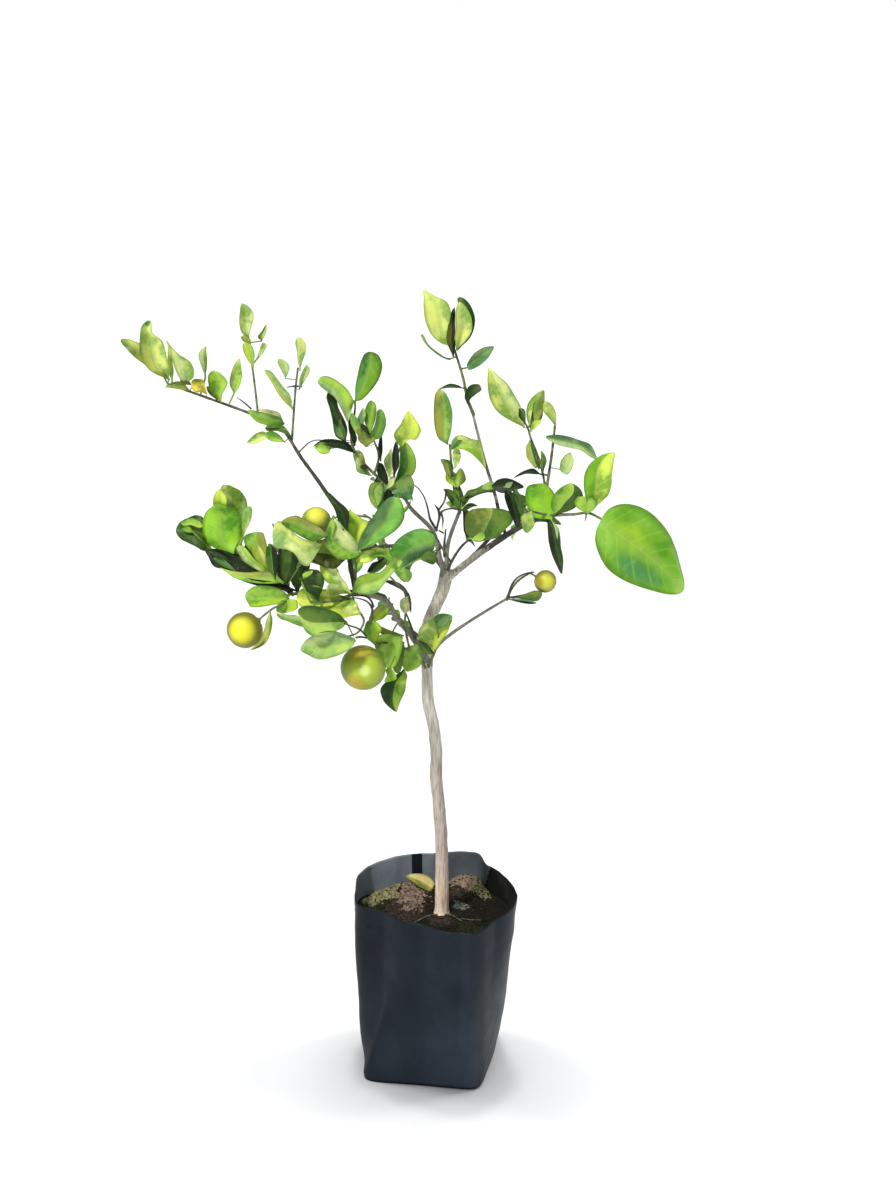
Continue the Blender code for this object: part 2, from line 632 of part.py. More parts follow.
def foliage(name, mass, seed, collection, pieces, cutters, solids):
    """One mass: stem, shoots, leaves and fruit, joined and cut clear of limbs."""
    rng = random.Random(seed)
    stem = smooth_route(mass["stem"], even_radii(STEM_RADII, len(mass["stem"])), 2)
    routes = {"stem": stem}
    shoots = mass.get("shoots", {})
    if "spread" in mass:
        count, reach, per_shoot, length = mass["spread"]
        shoots = {str(k): points for k, points in enumerate(spread_shoots(stem, count, reach))}
    for key, points in shoots.items():
        routes[key] = smooth_route(points, even_radii(SHOOT_RADII, len(points)), 2)
    wanted = []
    if "spread" in mass:
        order = seed
        for key, route in routes.items():
            rows = per_shoot + (2 if key == "stem" else 0)
            for k in range(rows):
                share = 0.3 + 0.7 * k / (rows - 1)
                size = length * (0.82 + 0.3 * rng.random())
                wanted.append((spread_leaf, (route, share, size, order)))
                order += 1
    else:
        order = 0
        for key, rows in mass["leaves"].items():
            for row in rows:
                wanted.append((seen_leaf, (routes[key], row, order)))
                order += 1
    body = tube(name, stem, 0, collection)
    for key, route in list(routes.items())[1:]:
        tube(name + "_" + key, route, 0, pieces)
    barriers = [skin_tree(cutter) for cutter in cutters.values()] + solids
    for k, (rule, row) in enumerate(wanted):
        shape = (rng.uniform(0.03, 0.09), rng.uniform(0.2, 0.5))
        for turn in TURNS_TRIED:
            made = rule(*row, turn)
            grown = leaf(*made, shape, GAP)
            free = is_free(grown, barriers)
            grown.free()
            if free:
                object_from(f"{name}_leaf_{k}", leaf(*made, shape), pieces)
                break
    for key, (share, centre, radius) in mass.get("fruit", {}).items():
        start, _ = place_on(routes[key], share)
        heart = Vector(centre)
        tube(name + "_stalk", [(start, STALK_RADIUS), (heart, STALK_RADIUS)], 0, pieces)
        bpy.ops.mesh.primitive_ico_sphere_add(
            subdivisions=3 if radius > 16 else 2, radius=radius * MM, location=heart * MM)
        fruit = bpy.context.active_object
        for holder in list(fruit.users_collection):
            holder.objects.unlink(fruit)
        fruit.name = name + "_fruit"
        pieces.objects.link(fruit)
    joined = apply_boolean(body, "UNION", "EXACT", group=pieces)
    keep_main_body(body, joined)
    for piece in list(pieces.objects):
        bpy.data.objects.remove(piece, do_unlink=True)
    cut_clear(body, cutters)
    body.data.materials.clear()
    body.data.materials.append(material(name.replace("foliage", "leaves"), "leaf"))
    for polygon in body.data.polygons:
        polygon.material_index = 0
    solids.append(skin_tree(body))


def build():
    clear_scene()
    parts = new_collection("potted_tangelo_tree")
    cutter_collection = new_collection("clearances")
    pieces = new_collection("pieces_to_join")
    grow_bag(parts)
    potting_mix(parts)
    cutters = limbs(parts, cutter_collection)
    solids = []
    for k, (name, mass) in enumerate(MASSES.items()):
        foliage(name, mass, FIRST_SEED + k, parts, pieces, cutters, solids)
    bpy.data.collections.remove(pieces)


build()
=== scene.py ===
import math
import random

import bpy
from mathutils import Matrix, Vector, noise
from mathutils.kdtree import KDTree


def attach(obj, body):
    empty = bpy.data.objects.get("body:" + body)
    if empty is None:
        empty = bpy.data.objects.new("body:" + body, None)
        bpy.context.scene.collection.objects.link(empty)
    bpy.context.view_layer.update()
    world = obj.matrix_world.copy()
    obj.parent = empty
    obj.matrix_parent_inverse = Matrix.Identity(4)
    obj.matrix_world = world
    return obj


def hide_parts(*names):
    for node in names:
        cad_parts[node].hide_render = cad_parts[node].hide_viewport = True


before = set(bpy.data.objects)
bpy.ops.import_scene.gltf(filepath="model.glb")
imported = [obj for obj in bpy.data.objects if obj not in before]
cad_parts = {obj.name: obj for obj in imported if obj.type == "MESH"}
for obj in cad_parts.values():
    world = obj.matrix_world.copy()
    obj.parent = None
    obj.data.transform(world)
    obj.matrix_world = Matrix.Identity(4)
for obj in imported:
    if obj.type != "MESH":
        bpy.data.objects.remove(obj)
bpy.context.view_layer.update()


# Grow bag
# A gusseted bag of black polythene film, about 4 litres, square at the foot.
# The film is blown and heat sealed; the filling swells it and the mouth stays loose.

MM = 0.001
FOOT_HALF = 68.0
FOOT_TURN = math.radians(-9.6)
FOOT_SQUARENESS = 9.5
FOOT_ROUNDING = 2.0
BULGE = (3.6, 1.3)
FILM = 0.7
MOUTH_CENTRE = (5.0, 12.0)
MOUTH = (
    (-176, 92, 190), (-146, 67, 190), (-106, 67, 189), (-72, 88, 188),
    (-66, 97, 188), (-40, 88, 190), (-15, 92, 193), (-2, 93, 195),
    (20, 90, 199), (46, 89, 203), (64, 104, 208), (92, 87, 210),
    (121, 90, 210), (142, 100, 205), (153, 101, 201), (174, 94, 192),
)
FOOT_CORNERS = (35.4, 125.4, -144.6, -54.6)
# Where the filling presses the film out: direction, half turn, height, half height, reach
PRESSED = ((-160, 35, 22, 34, 4.8), (12, 45, 42, 55, 5.0))
# Creases in the film: from and to, as direction and height, then depth and half width
CREASES = (
    (-56, 6, -30, 46, 1.3, 2.6), (-50, 4, -12, 30, 1.0, 2.2), (-62, 8, -84, 52, -0.9, 3.0),
    (-70, 188, -60, 120, 0.5, 4.4), (-60, 120, -54, 4, 0.4, 3.4), (-40, 186, -44, 96, -0.5, 5.0),
    (-140, 6, -112, 44, 0.3, 3.6), (-146, 182, -143, 60, 0.3, 4.0), (-106, 186, -100, 130, -0.4, 6.0),
    (-84, 26, -40, 70, 0.6, 2.6), (-92, 40, -76, 58, 0.9, 1.8), (-98, 54, -78, 50, -0.8, 1.6),
    (-72, 12, -58, 34, 0.9, 1.6), (-66, 30, -50, 18, 0.8, 1.5),
    (30, 10, 8, 60, 1.0, 2.8), (64, 200, 50, 90, 1.6, 3.4),
    (142, 198, 130, 80, 1.5, 3.4), (92, 204, 96, 150, -1.6, 6.0), (-176, 186, 176, 120, -1.0, 5.0),
)


def smooth(share):
    share = min(1.0, max(0.0, share))
    return share * share * (3.0 - 2.0 * share)


def vector(place):
    return Vector(place) * MM


def foot_radius(angle):
    turned = angle - FOOT_TURN
    power = abs(math.cos(turned)) ** FOOT_SQUARENESS + abs(math.sin(turned)) ** FOOT_SQUARENESS
    return FOOT_HALF / power ** (1.0 / FOOT_SQUARENESS)


def mouth_edge(angle):
    degrees = math.degrees(angle)
    while degrees < MOUTH[0][0]:
        degrees += 360.0
    for k, (start, radius, height) in enumerate(MOUTH):
        end, next_radius, next_height = MOUTH[(k + 1) % len(MOUTH)]
        if k == len(MOUTH) - 1:
            end += 360.0
        if start <= degrees <= end:
            share = smooth((degrees - start) / (end - start))
            return radius + (next_radius - radius) * share, height + (next_height - height) * share
    return MOUTH[0][1], MOUTH[0][2]


def turn_between(a, b):
    return (a - b + 180.0) % 360.0 - 180.0


def film_relief(angle, height):
    """How far the film stands out of its even shape, from its folds and ripples."""
    degrees = math.degrees(angle)
    out = 0.0
    for corner in FOOT_CORNERS:
        off = turn_between(degrees, corner) / 3.2
        out += 0.3 * math.exp(-off * off) * (1.0 - 0.5 * height / 200.0)
    here = Vector((math.cos(angle), math.sin(angle), 0.0)) * 75.0
    place = Vector((here.x, here.y, height))
    for from_turn, from_height, to_turn, to_height, depth, half in CREASES:
        start = Vector((0.0, from_height))
        end = Vector((turn_between(to_turn, from_turn) * 1.3, to_height))
        spot = Vector((turn_between(degrees, from_turn) * 1.3, height))
        along = min(1.0, max(0.0, (spot - start).dot(end - start) / (end - start).length_squared))
        off = (spot - start.lerp(end, along)).length / (half * (0.6 + 0.8 * along))
        if off < 3.0:
            out += 0.55 * depth * math.exp(-off * off)
    out += 1.3 * noise.noise(place * 0.018) + 0.55 * noise.noise(place * 0.055)
    out += 0.5 * noise.noise(Vector((degrees * 0.09, height * 0.012, 4.0))) * smooth((height - 150.0) / 50.0)
    return out * smooth(height / 12.0)


def wall_place(angle, height, inset, relief=True):
    radius, rim = mouth_edge(angle)
    bulge = BULGE[0] + (BULGE[1] - BULGE[0]) * (0.5 + 0.5 * math.cos(angle))
    blend = 1.0 - (1.0 - min(1.0, height / rim)) ** bulge
    reach = foot_radius(angle) * (1.0 - blend) + radius * blend - inset
    for middle, half, level, half_level, out in PRESSED:
        off = (turn_between(math.degrees(angle), middle) / half) ** 2 + ((height - level) / half_level) ** 2
        reach += out * math.exp(-off)
    if relief:
        reach += film_relief(angle, height)
    return vector((
        MOUTH_CENTRE[0] * blend + reach * math.cos(angle),
        MOUTH_CENTRE[1] * blend + reach * math.sin(angle),
        height,
    ))


def stack_of_rings(name, around, count, close):
    """A filled circle whose edge is extruded upwards a number of times, 1 m a step."""
    bpy.ops.object.select_all(action="DESELECT")
    bpy.ops.mesh.primitive_circle_add(vertices=around, radius=1.0, fill_type="TRIFAN")
    made = bpy.context.object
    made.name = made.data.name = name
    bpy.ops.object.mode_set(mode="EDIT")
    bpy.ops.mesh.select_mode(type="EDGE")
    bpy.ops.mesh.select_all(action="DESELECT")
    bpy.ops.mesh.select_non_manifold()
    for _ in range(count):
        bpy.ops.mesh.extrude_region_move(TRANSFORM_OT_translate={"value": (0.0, 0.0, 1.0)})
    if close:
        bpy.ops.mesh.edge_face_add()
        bpy.ops.mesh.poke()
    bpy.ops.mesh.select_all(action="SELECT")
    bpy.ops.mesh.normals_make_consistent(inside=False)
    bpy.ops.object.mode_set(mode="OBJECT")
    return made


def apply_modifier(thing, kind, **settings):
    bpy.ops.object.select_all(action="DESELECT")
    bpy.context.view_layer.objects.active = thing
    thing.select_set(True)
    change = thing.modifiers.new(kind.lower(), kind)
    for key, value in settings.items():
        setattr(change, key, value)
    bpy.ops.object.modifier_apply(modifier=change.name)


def linear(hex_colour):
    """A colour from its sRGB hex value, as the shader's linear RGBA."""
    channels = [int(hex_colour[k:k + 2], 16) / 255.0 for k in (1, 3, 5)]
    return [c / 12.92 if c <= 0.04045 else ((c + 0.055) / 1.055) ** 2.4 for c in channels] + [1.0]


def new_material(name, base, roughness, **sockets):
    made = bpy.data.materials.new(name)
    made.use_nodes = True
    shader = made.node_tree.nodes["Principled BSDF"]
    shader.inputs["Base Color"].default_value = linear(base)
    shader.inputs["Roughness"].default_value = roughness
    for socket, value in sockets.items():
        shader.inputs[socket.replace("_", " ")].default_value = value
    return made, shader


def add_node(made, kind, settings=None, values=None, links=None):
    """Adds a node, with its settings, its sockets' values, and links into it."""
    node = made.node_tree.nodes.new("ShaderNode" + kind)
    for key, value in (settings or {}).items():
        setattr(node, key, value)
    for socket, value in (values or {}).items():
        node.inputs[socket].default_value = value
    for socket, output in (links or {}).items():
        made.node_tree.links.new(output, node.inputs[socket])
    return node


# Black low-density polythene, blown film: near black with a blue cast and a soft
# gloss. Dust leaves a grey bloom at random. Across x the tone is scaled as painted
# shade and painted light. The film is lighter towards the foot, and a broken grey is
# mixed in at the lower right of the outside.
def film_look(name, clean, bloomed, roughness, left, right):
    look, shader = new_material(name, clean, roughness, IOR=1.5)
    shader.inputs["Specular IOR Level"].default_value = 0.11
    place = add_node(look, "TexCoord")
    bloom = add_node(look, "TexNoise", values={"Scale": 15.0, "Detail": 5.0, "Roughness": 0.6},
                     links={"Vector": place.outputs["Object"]})
    bloom_band = add_node(look, "MapRange", values={"From Min": 0.42, "From Max": 0.72},
                          links={"Value": bloom.outputs["Fac"]})
    tone = add_node(look, "Mix", {"data_type": "RGBA"}, {"A": linear(clean), "B": linear(bloomed)},
                    {"Factor": bloom_band.outputs["Result"]})
    # Across x the tone is scaled: outside, darker at the left as painted shade and lighter at the right as painted
    # light; inside, lighter at the left as painted light and darker at the right as painted shade. It is also lighter
    # towards the foot.
    axes = add_node(look, "SeparateXYZ", links={"Vector": place.outputs["Object"]})
    side = add_node(look, "MapRange", {"interpolation_type": "SMOOTHSTEP"},
                    {"From Min": -0.095, "From Max": 0.08, "To Min": left, "To Max": right},
                    {"Value": axes.outputs["X"]})
    lighter_to_foot = add_node(look, "MapRange", {"interpolation_type": "SMOOTHSTEP"},
                        {"From Min": 0.045, "From Max": 0.105, "To Min": 1.35, "To Max": 1.0},
                        {"Value": axes.outputs["Z"]})
    amount = add_node(look, "Math", {"operation": "MULTIPLY"},
                      links={0: side.outputs["Result"], 1: lighter_to_foot.outputs["Result"]})
    # This scaled tone carries the painted shade and light across x as well as the dust bloom.
    dusty = add_node(look, "VectorMath", {"operation": "SCALE"},
                     links={"Vector": tone.outputs["Result"], "Scale": amount.outputs["Value"]})
    # Towards the lower right of the outside a broken grey is mixed in.
    right_side = add_node(look, "MapRange", {"interpolation_type": "SMOOTHSTEP"},
                          {"From Min": 0.03, "From Max": 0.08, "To Max": 1.0 if left < 1.0 else 0.0},
                          {"Value": axes.outputs["X"]})
    foot_side = add_node(look, "MapRange", {"interpolation_type": "SMOOTHSTEP"},
                         {"From Min": 0.15, "From Max": 0.09}, {"Value": axes.outputs["Z"]})
    lower_right_grey = add_node(look, "Math", {"operation": "MULTIPLY"},
                     links={0: right_side.outputs["Result"], 1: foot_side.outputs["Result"]})
    flecks = add_node(look, "TexNoise", values={"Scale": 38.0, "Detail": 6.0, "Roughness": 0.7},
                      links={"Vector": place.outputs["Object"]})
    broken = add_node(look, "MapRange", values={"From Min": 0.3, "From Max": 0.62, "To Min": 0.45},
                      links={"Value": flecks.outputs["Fac"]})
    thinned = add_node(look, "Math", {"operation": "MULTIPLY"},
                       links={0: lower_right_grey.outputs["Value"], 1: broken.outputs["Result"]})
    greyed_lower_right = add_node(look, "Mix", {"data_type": "RGBA"}, {"B": linear("#4a4f50")},
                       {"Factor": thinned.outputs["Value"], "A": dusty.outputs["Vector"]})
    look.node_tree.links.new(greyed_lower_right.outputs["Result"], shader.inputs["Base Color"])
    crinkle = add_node(look, "TexNoise", values={"Scale": 70.0, "Detail": 3.0, "Distortion": 0.6},
                       links={"Vector": place.outputs["Object"]})
    crinkle_bump = add_node(look, "Bump", values={"Strength": 0.25, "Distance": 0.0012},
                            links={"Height": crinkle.outputs["Fac"]})
    look.node_tree.links.new(crinkle_bump.outputs["Normal"], shader.inputs["Normal"])
    return look


film = film_look("blown_black_polythene_film", "#181f28", "#212a33", 0.5, 0.6, 1.25)
# The inside film is much paler than the outside: painted light, for the light that comes through the film, with a
# dust bloom.
inner_film = film_look("polythene_film_inside_dust_and_painted_light", "#565d66", "#6d737a", 0.6, 1.9, 0.72)
# The fold film is near black: a painted shadow.
shadow_fold = film_look("polythene_film_fold_painted_shadow", "#15191f", "#1b2027", 0.5, 1.0, 1.0)
# The mossed film is painted shade, near black, with a moss mottle.
mossed_shaded_film = film_look("polythene_film_mossed_painted_shade", "#131511", "#33352a", 0.75, 1.0, 1.0)

BAG_AROUND = 260
BAG_RINGS = 86
bag = stack_of_rings("bag_film", BAG_AROUND, BAG_RINGS, False)
for vert in bag.data.vertices:
    ring = vert.co.z
    angle = math.atan2(vert.co.y, vert.co.x)
    if ring < 0.5:
        out = min(1.0, math.hypot(vert.co.x, vert.co.y))
        vert.co = wall_place(angle, 0.0, FOOT_ROUNDING).lerp(Vector((0.0, 0.0, 0.0)), 1.0 - out)
        continue
    rim = mouth_edge(angle)[1] + 0.9 * noise.noise(Vector((math.degrees(angle) * 0.11, 0.0, 7.0)))
    share = (ring - 1.0) / (BAG_RINGS - 1.0)
    height = 4.0 + (rim - 4.0) * share
    vert.co = wall_place(angle, height, 0.0)
bag.data.materials.append(film)
bag.data.materials.append(inner_film)
apply_modifier(bag, "SOLIDIFY", thickness=FILM * MM, offset=-1.0, material_offset=1)
bag.data.materials.append(shadow_fold)
bag.data.materials.append(mossed_shaded_film)
# Inside, a strip at the back takes the fold film, a painted shadow. The wall at the right takes the mossed film,
# painted shade, below a ragged line, and the fold film, painted shade, above it.
for polygon in bag.data.polygons:
    middle = polygon.center / MM
    if polygon.material_index == 1 and middle.y > 80.0 and -25.0 < middle.x < -12.0:
        polygon.material_index = 2
    elif polygon.material_index == 1 and middle.x > 66.0 + 0.25 * (middle.z - 190.0):
        ragged = middle.z + 7.0 * noise.noise(middle * 0.14) + 3.0 * noise.noise(middle * 0.4)
        polygon.material_index = 3 if ragged < 200.0 else 2
bag.data.shade_smooth()
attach(bag, "root")
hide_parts("grow_bag")


# Potting mix
# Composted bark and coir, watered and settled into a low heap with a mossy side.
# It is dark where it lies wet and under the mouth's near edge, where the dark is
# partly painted shade, and paler where it has dried.

SOIL_TOP = 174.0
TRUNK_FOOT = (12.0, 8.0)
MIX_AROUND = 150
MIX_SIDE = (0.7, 4.0, 28.0, 64.0, 100.0, 136.0, 160.0, 170.0)
MIX_RINGS = 44


def mix_height(x, y):
    """Height of the heap's surface, with its lumps, at a place."""
    here = Vector((x, y, 0.0))
    far = math.hypot(x - TRUNK_FOOT[0], y - TRUNK_FOOT[1])
    lumps = 5.0 * noise.noise(here * 0.022) + 2.4 * noise.noise(here * 0.07 + Vector((9.0, 0.0, 0.0)))
    lumps += 1.3 * noise.noise(here * 0.2) + 0.7 * noise.noise(here * 0.5)
    dish = -5.0 * smooth((far - 40.0) / 40.0)
    dish += 20.0 * math.exp(-((x - 41.0) / 25.0) ** 2 - ((y - 82.0) / 23.0) ** 2)
    dish += 9.0 * math.exp(-((x + 38.0) / 28.0) ** 2 - ((y - 80.0) / 24.0) ** 2)
    return SOIL_TOP + dish + lumps * (0.25 + 0.75 * smooth((far - 8.0) / 22.0)) + 1.5 * math.exp(-far / 9.0)


mix = stack_of_rings("potting_mix_heap", MIX_AROUND, len(MIX_SIDE) + MIX_RINGS, True)
for vert in mix.data.vertices:
    ring = round(vert.co.z)
    angle = math.atan2(vert.co.y, vert.co.x)
    if ring == 0:
        out = min(1.0, math.hypot(vert.co.x, vert.co.y))
        vert.co = wall_place(angle, 0.0, FILM + 2.6).lerp(Vector((0.0, 0.0, 0.0)), 1.0 - out)
        vert.co.z = (FILM + 0.3) * MM
    elif ring <= len(MIX_SIDE):
        height = MIX_SIDE[ring - 1] + 0.3
        vert.co = wall_place(angle, height, FILM + 0.4 + 3.6 * smooth((165.0 - height) / 20.0))
    else:
        share = (ring - len(MIX_SIDE)) / MIX_RINGS
        if math.hypot(vert.co.x, vert.co.y) < 0.5:
            share = 1.0
        edge = wall_place(angle, 170.0, FILM + 0.5)
        flat = edge.lerp(Vector((TRUNK_FOOT[0] * MM, TRUNK_FOOT[1] * MM, 0.0)), share)
        vert.co = Vector((flat.x, flat.y, mix_height(flat.x / MM, flat.y / MM) * MM))
mix.data.shade_smooth()

# Patches of the surface: kind, middle, and half size across and in depth
MIX_PATCHES = (
    (3, 34, 26, 9, 9), (2, 60, 82, 12, 24), (1, 38, 86, 20, 22), (2, -54, 82, 20, 30), (2, -70, 52, 10, 14),
    (2, -84, 24, 9, 9), (1, -25, 58, 17, 40), (4, 12, -6, 15, 18), (4, -30, 34, 24, 50),
    (5, 70, 78, 13, 26), (4, 36, 74, 24, 30), (5, -62, 40, 30, 44), (5, 44, -24, 16, 14),
)


def mix_kind(x, y):
    """Which look the heap has at a place: wet, dry, mossy, lichen grey, damp or dark moss; the wet and the dark moss
    looks are partly painted shade.
    """
    here = Vector((x, y, 0.0))
    rag = 0.40 * noise.noise(here * 0.09) + 0.5 * noise.noise(here * 0.4)
    for kind, middle_x, middle_y, half_x, half_y in MIX_PATCHES:
        if math.hypot((x - middle_x) / half_x, (y - middle_y) / half_y) + rag < 1.0:
            return kind
    return 0


# Composted bark and coir: crumbly and matt, near black where it is wet, pinkish brown
# where it has dried, with an olive film of moss and some grey lichen. The wet and the
# dark moss looks are also painted shade, where the heap lies in the bag's shade.
mix_looks = []
for look_name, low, high in (("wet_and_shaded_bark_mix", "#0d0c09", "#201f17"), ("dry_bark_mix", "#3c2f25", "#a08a7a"),
                             ("mossy_bark_mix", "#393a22", "#a09b72"), ("lichen_mix", "#39403a", "#868d7e"),
                             ("damp_bark_mix", "#17130e", "#463c32"), ("dark_moss_and_shade_mix", "#101309", "#2b2e19")):
    look, shader = new_material(look_name, low, 0.95)
    shader.inputs["Specular IOR Level"].default_value = 0.15
    place = add_node(look, "TexCoord")
    grain = add_node(look, "TexNoise", values={"Scale": 420.0, "Detail": 6.0, "Roughness": 0.7},
                     links={"Vector": place.outputs["Object"]})
    band = add_node(look, "MapRange", values={"From Min": 0.38, "From Max": 0.62},
                    links={"Value": grain.outputs["Fac"]})
    tone = add_node(look, "Mix", {"data_type": "RGBA"}, {"A": linear(low), "B": linear(high)},
                    {"Factor": band.outputs["Result"]})
    look.node_tree.links.new(tone.outputs["Result"], shader.inputs["Base Color"])
    grain_bump = add_node(look, "Bump", values={"Strength": 0.8, "Distance": 0.0016},
                          links={"Height": grain.outputs["Fac"]})
    look.node_tree.links.new(grain_bump.outputs["Normal"], shader.inputs["Normal"])
    mix_looks.append(look)
    mix.data.materials.append(look)
for polygon in mix.data.polygons:
    middle = polygon.center / MM
    if middle.z > 166.0:
        polygon.material_index = mix_kind(middle.x, middle.y)
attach(mix, "root")
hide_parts("potting_mix")


class Sheaf:
    """Gathers many small closed forms into one mesh, each with its own finish."""

    def __init__(self):
        self.verts, self.faces, self.finishes, self.uvs = [], [], [], []

    def add(self, verts, faces, finish, uvs=None):
        start = len(self.verts)
        self.verts.extend(verts)
        self.uvs.extend(uvs or [(0.0, 0.5)] * len(verts))
        for face in faces:
            self.faces.append([start + k for k in face])
            self.finishes.append(finish)

    def make(self, name, looks):
        mesh = bpy.data.meshes.new(name)
        mesh.from_pydata(self.verts, [], self.faces)
        for look in looks:
            mesh.materials.append(look)
        mesh.polygons.foreach_set("material_index", self.finishes)
        layer = mesh.uv_layers.new(name="blade")
        for loop in mesh.loops:
            layer.data[loop.index].uv = self.uvs[loop.vertex_index]
        mesh.shade_smooth()
        mesh.set_sharp_from_angle(angle=math.radians(62))
        mesh.update()
        made = bpy.data.objects.new(name, mesh)
        bpy.context.scene.collection.objects.link(made)
        return made


def crumb(rng, centre, size, flat):
    """A small irregular lump: an octahedron with pushed corners."""
    corners = []
    turn = Matrix.Rotation(rng.uniform(0.0, math.tau), 3, "Z") @ Matrix.Rotation(rng.uniform(-0.5, 0.5), 3, "X")
    for way in ((1, 0, 0), (0, 1, 0), (-1, 0, 0), (0, -1, 0), (0, 0, 1), (0, 0, -1)):
        reach = size * rng.uniform(0.6, 1.1) * (flat if way[2] else 1.0)
        corners.append((centre + turn @ Vector(way) * reach) * MM)
    faces = [(0, 1, 4), (1, 2, 4), (2, 3, 4), (3, 0, 4), (1, 0, 5), (2, 1, 5), (3, 2, 5), (0, 3, 5)]
    return corners, faces


def rod(points, radii, sides):
    """A thin closed tube along points, as verts and faces."""
    verts, faces = [], []
    side = None
    for k, point in enumerate(points):
        along = (points[min(k + 1, len(points) - 1)] - points[max(k - 1, 0)]).normalized()
        if side is None:
            side = along.cross(Vector((0.31, 0.17, 0.93))).normalized()
        side = (side - along * side.dot(along)).normalized()
        up = along.cross(side)
        for step in range(sides):
            turn = math.tau * step / sides
            verts.append((point + (side * math.cos(turn) + up * math.sin(turn)) * radii[k]) * MM)
    for k in range(len(points) - 1):
        for step in range(sides):
            after = (step + 1) % sides
            faces.append((k * sides + step, k * sides + after, (k + 1) * sides + after, (k + 1) * sides + step))
    faces.append(tuple(reversed(range(sides))))
    faces.append(tuple((len(points) - 1) * sides + step for step in range(sides)))
    return verts, faces


# Loose crumbs, bark chips and coir fibres lie on the heap; the chips are torn bark,
# the fibres a few hairs of coconut husk.
rng = random.Random(4)
crumbs = Sheaf()
while len(crumbs.verts) < 6 * 2900:
    x, y = rng.uniform(-88.0, 96.0), rng.uniform(-66.0, 104.0)
    angle = math.atan2(y, x)
    edge = wall_place(angle, 172.0, 5.0, False) / MM
    if math.hypot(x, y) > math.hypot(edge.x, edge.y) or math.hypot(x - 12.0, y - 8.0) < 9.5:
        continue
    size = 0.45 + 1.8 * rng.random() ** 3
    centre = Vector((x, y, mix_height(x, y) + size * 0.25))
    kind = mix_kind(x + rng.gauss(0.0, 4.0), y + rng.gauss(0.0, 6.0))
    if rng.random() < 0.3:
        kind = rng.choice((0, 4, 4, 5))
    crumbs.add(*crumb(rng, centre, size, 0.6), kind)
for _ in range(26):
    x, y = rng.uniform(-50.0, 60.0), rng.uniform(-30.0, 70.0)
    if math.hypot(x - 12.0, y - 8.0) < 22.0:
        continue
    heading = rng.uniform(0.0, math.tau)
    length = rng.uniform(8.0, 20.0)
    points = []
    for k in range(6):
        reach = length * (k / 5.0 - 0.5)
        bend = 2.5 * math.sin(k * 1.1 + heading)
        px = x + reach * math.cos(heading) - bend * math.sin(heading)
        py = y + reach * math.sin(heading) + bend * math.cos(heading)
        points.append(Vector((px, py, mix_height(px, py) + 0.8 + 0.6 * math.sin(k * 1.3))))
    crumbs.add(*rod(points, [0.3] * 6, 4), 4)
# Two dry stalks lie across the front of the heap.
for stalk in (((-19, -12), (-6, -4), (2, 0), (14, 1), (24, -3), (34, -16)), ((34, -10), (44, -14), (56, -10))):
    points = [Vector((x, y, mix_height(x, y) + 1.6)) for x, y in stalk]
    crumbs.add(*rod(points, [0.45] * len(points), 6), 3)
mix_crumbs = crumbs.make("mix_crumbs", mix_looks)
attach(mix_crumbs, "root")


# Trunk and boughs
# Living wood under thin grey citrus bark: fine cracks along the stem, low knuckles
# where leaves were, and a collar at each fork. One skin runs over all the limbs.

TRUNK_ROUTE = (
    (12, 8, SOIL_TOP + 0.3), (12, 8, 178), (12, 8, 184), (11.6, 8, 262), (8.8, 8.5, 305),
    (5.7, 9, 339), (6.2, 9, 364), (3, 9, 396), (-3, 8, 427), (-4, 8, 460), (-3.5, 8, 481),
)
TRUNK_RADII = (9.6, 8.4, 7.8, 7.1, 7.0, 6.9, 6.8, 6.6, 6.5, 6.2, 6.4)
BOUGHS = {
    "bough_leader": ((-3.5, 8, 477), (-3, 10, 512), (7, 13, 536), (14, 14, 553), (18, 14, 574)),
    "bough_right": ((15, 14, 560), (29, 6, 574), (54, -6, 596), (94, -26, 627), (121, -40, 642)),
    "bough_low_left": ((-3, 8, 470), (-20, -6, 504), (-36, -26, 529), (-47, -40, 551), (-79, -62, 565)),
    "bough_low_right": ((-3, 9, 470), (5, 12, 485), (19, 20, 497), (49, 36, 514), (86, 48, 534)),
    "bough_centre_left": ((16, 14, 568), (10, 10, 588), (3, 4, 617), (-20, -4, 643), (-27, -6, 655)),
    "bough_centre": ((18, 14, 570), (18, 16, 595), (23, 14, 615), (32, 12, 639)),
    "bough_back": ((17, 14, 566), (10, 30, 577), (-12, 64, 588), (-54, 105, 582)),
    "bough_back_right": ((19, 14, 563), (31, 28, 571), (54, 54, 588), (83, 85, 615)),
    "bough_back_low": ((-3.5, 9, 468), (-6, 24, 479), (-12, 54, 486), (-27, 90, 489)),
    "bough_left_low": ((-77, -61, 565), (-108, -70, 568), (-145, -58, 562)),
    "bough_left_long": ((-77, -60, 565), (-84, -42, 595), (-90, -12, 626), (-115, 23, 660), (-143, 53, 692)),
    "bough_top": ((73, -16, 611), (72, -6, 645), (58, 10, 693), (45, 24, 743)),
    "bough_back_left": ((-52, 104, 582), (-92, 116, 574), (-148, 114, 562)),
}
BOUGH_RADII = {
    "bough_leader": (6.2, 7.6), "bough_right": (4.4, 2.8), "bough_low_left": (3.9, 2.6),
    "bough_low_right": (2.8, 1.6), "bough_centre_left": (3.0, 2.0), "bough_centre": (2.8, 2.0),
    "bough_back": (3.4, 2.2), "bough_back_right": (3.0, 2.0), "bough_back_low": (3.0, 2.0),
    "bough_left_low": (2.4, 1.9), "bough_left_long": (2.9, 2.1), "bough_top": (2.3, 1.6),
    "bough_back_left": (2.3, 1.8),
}


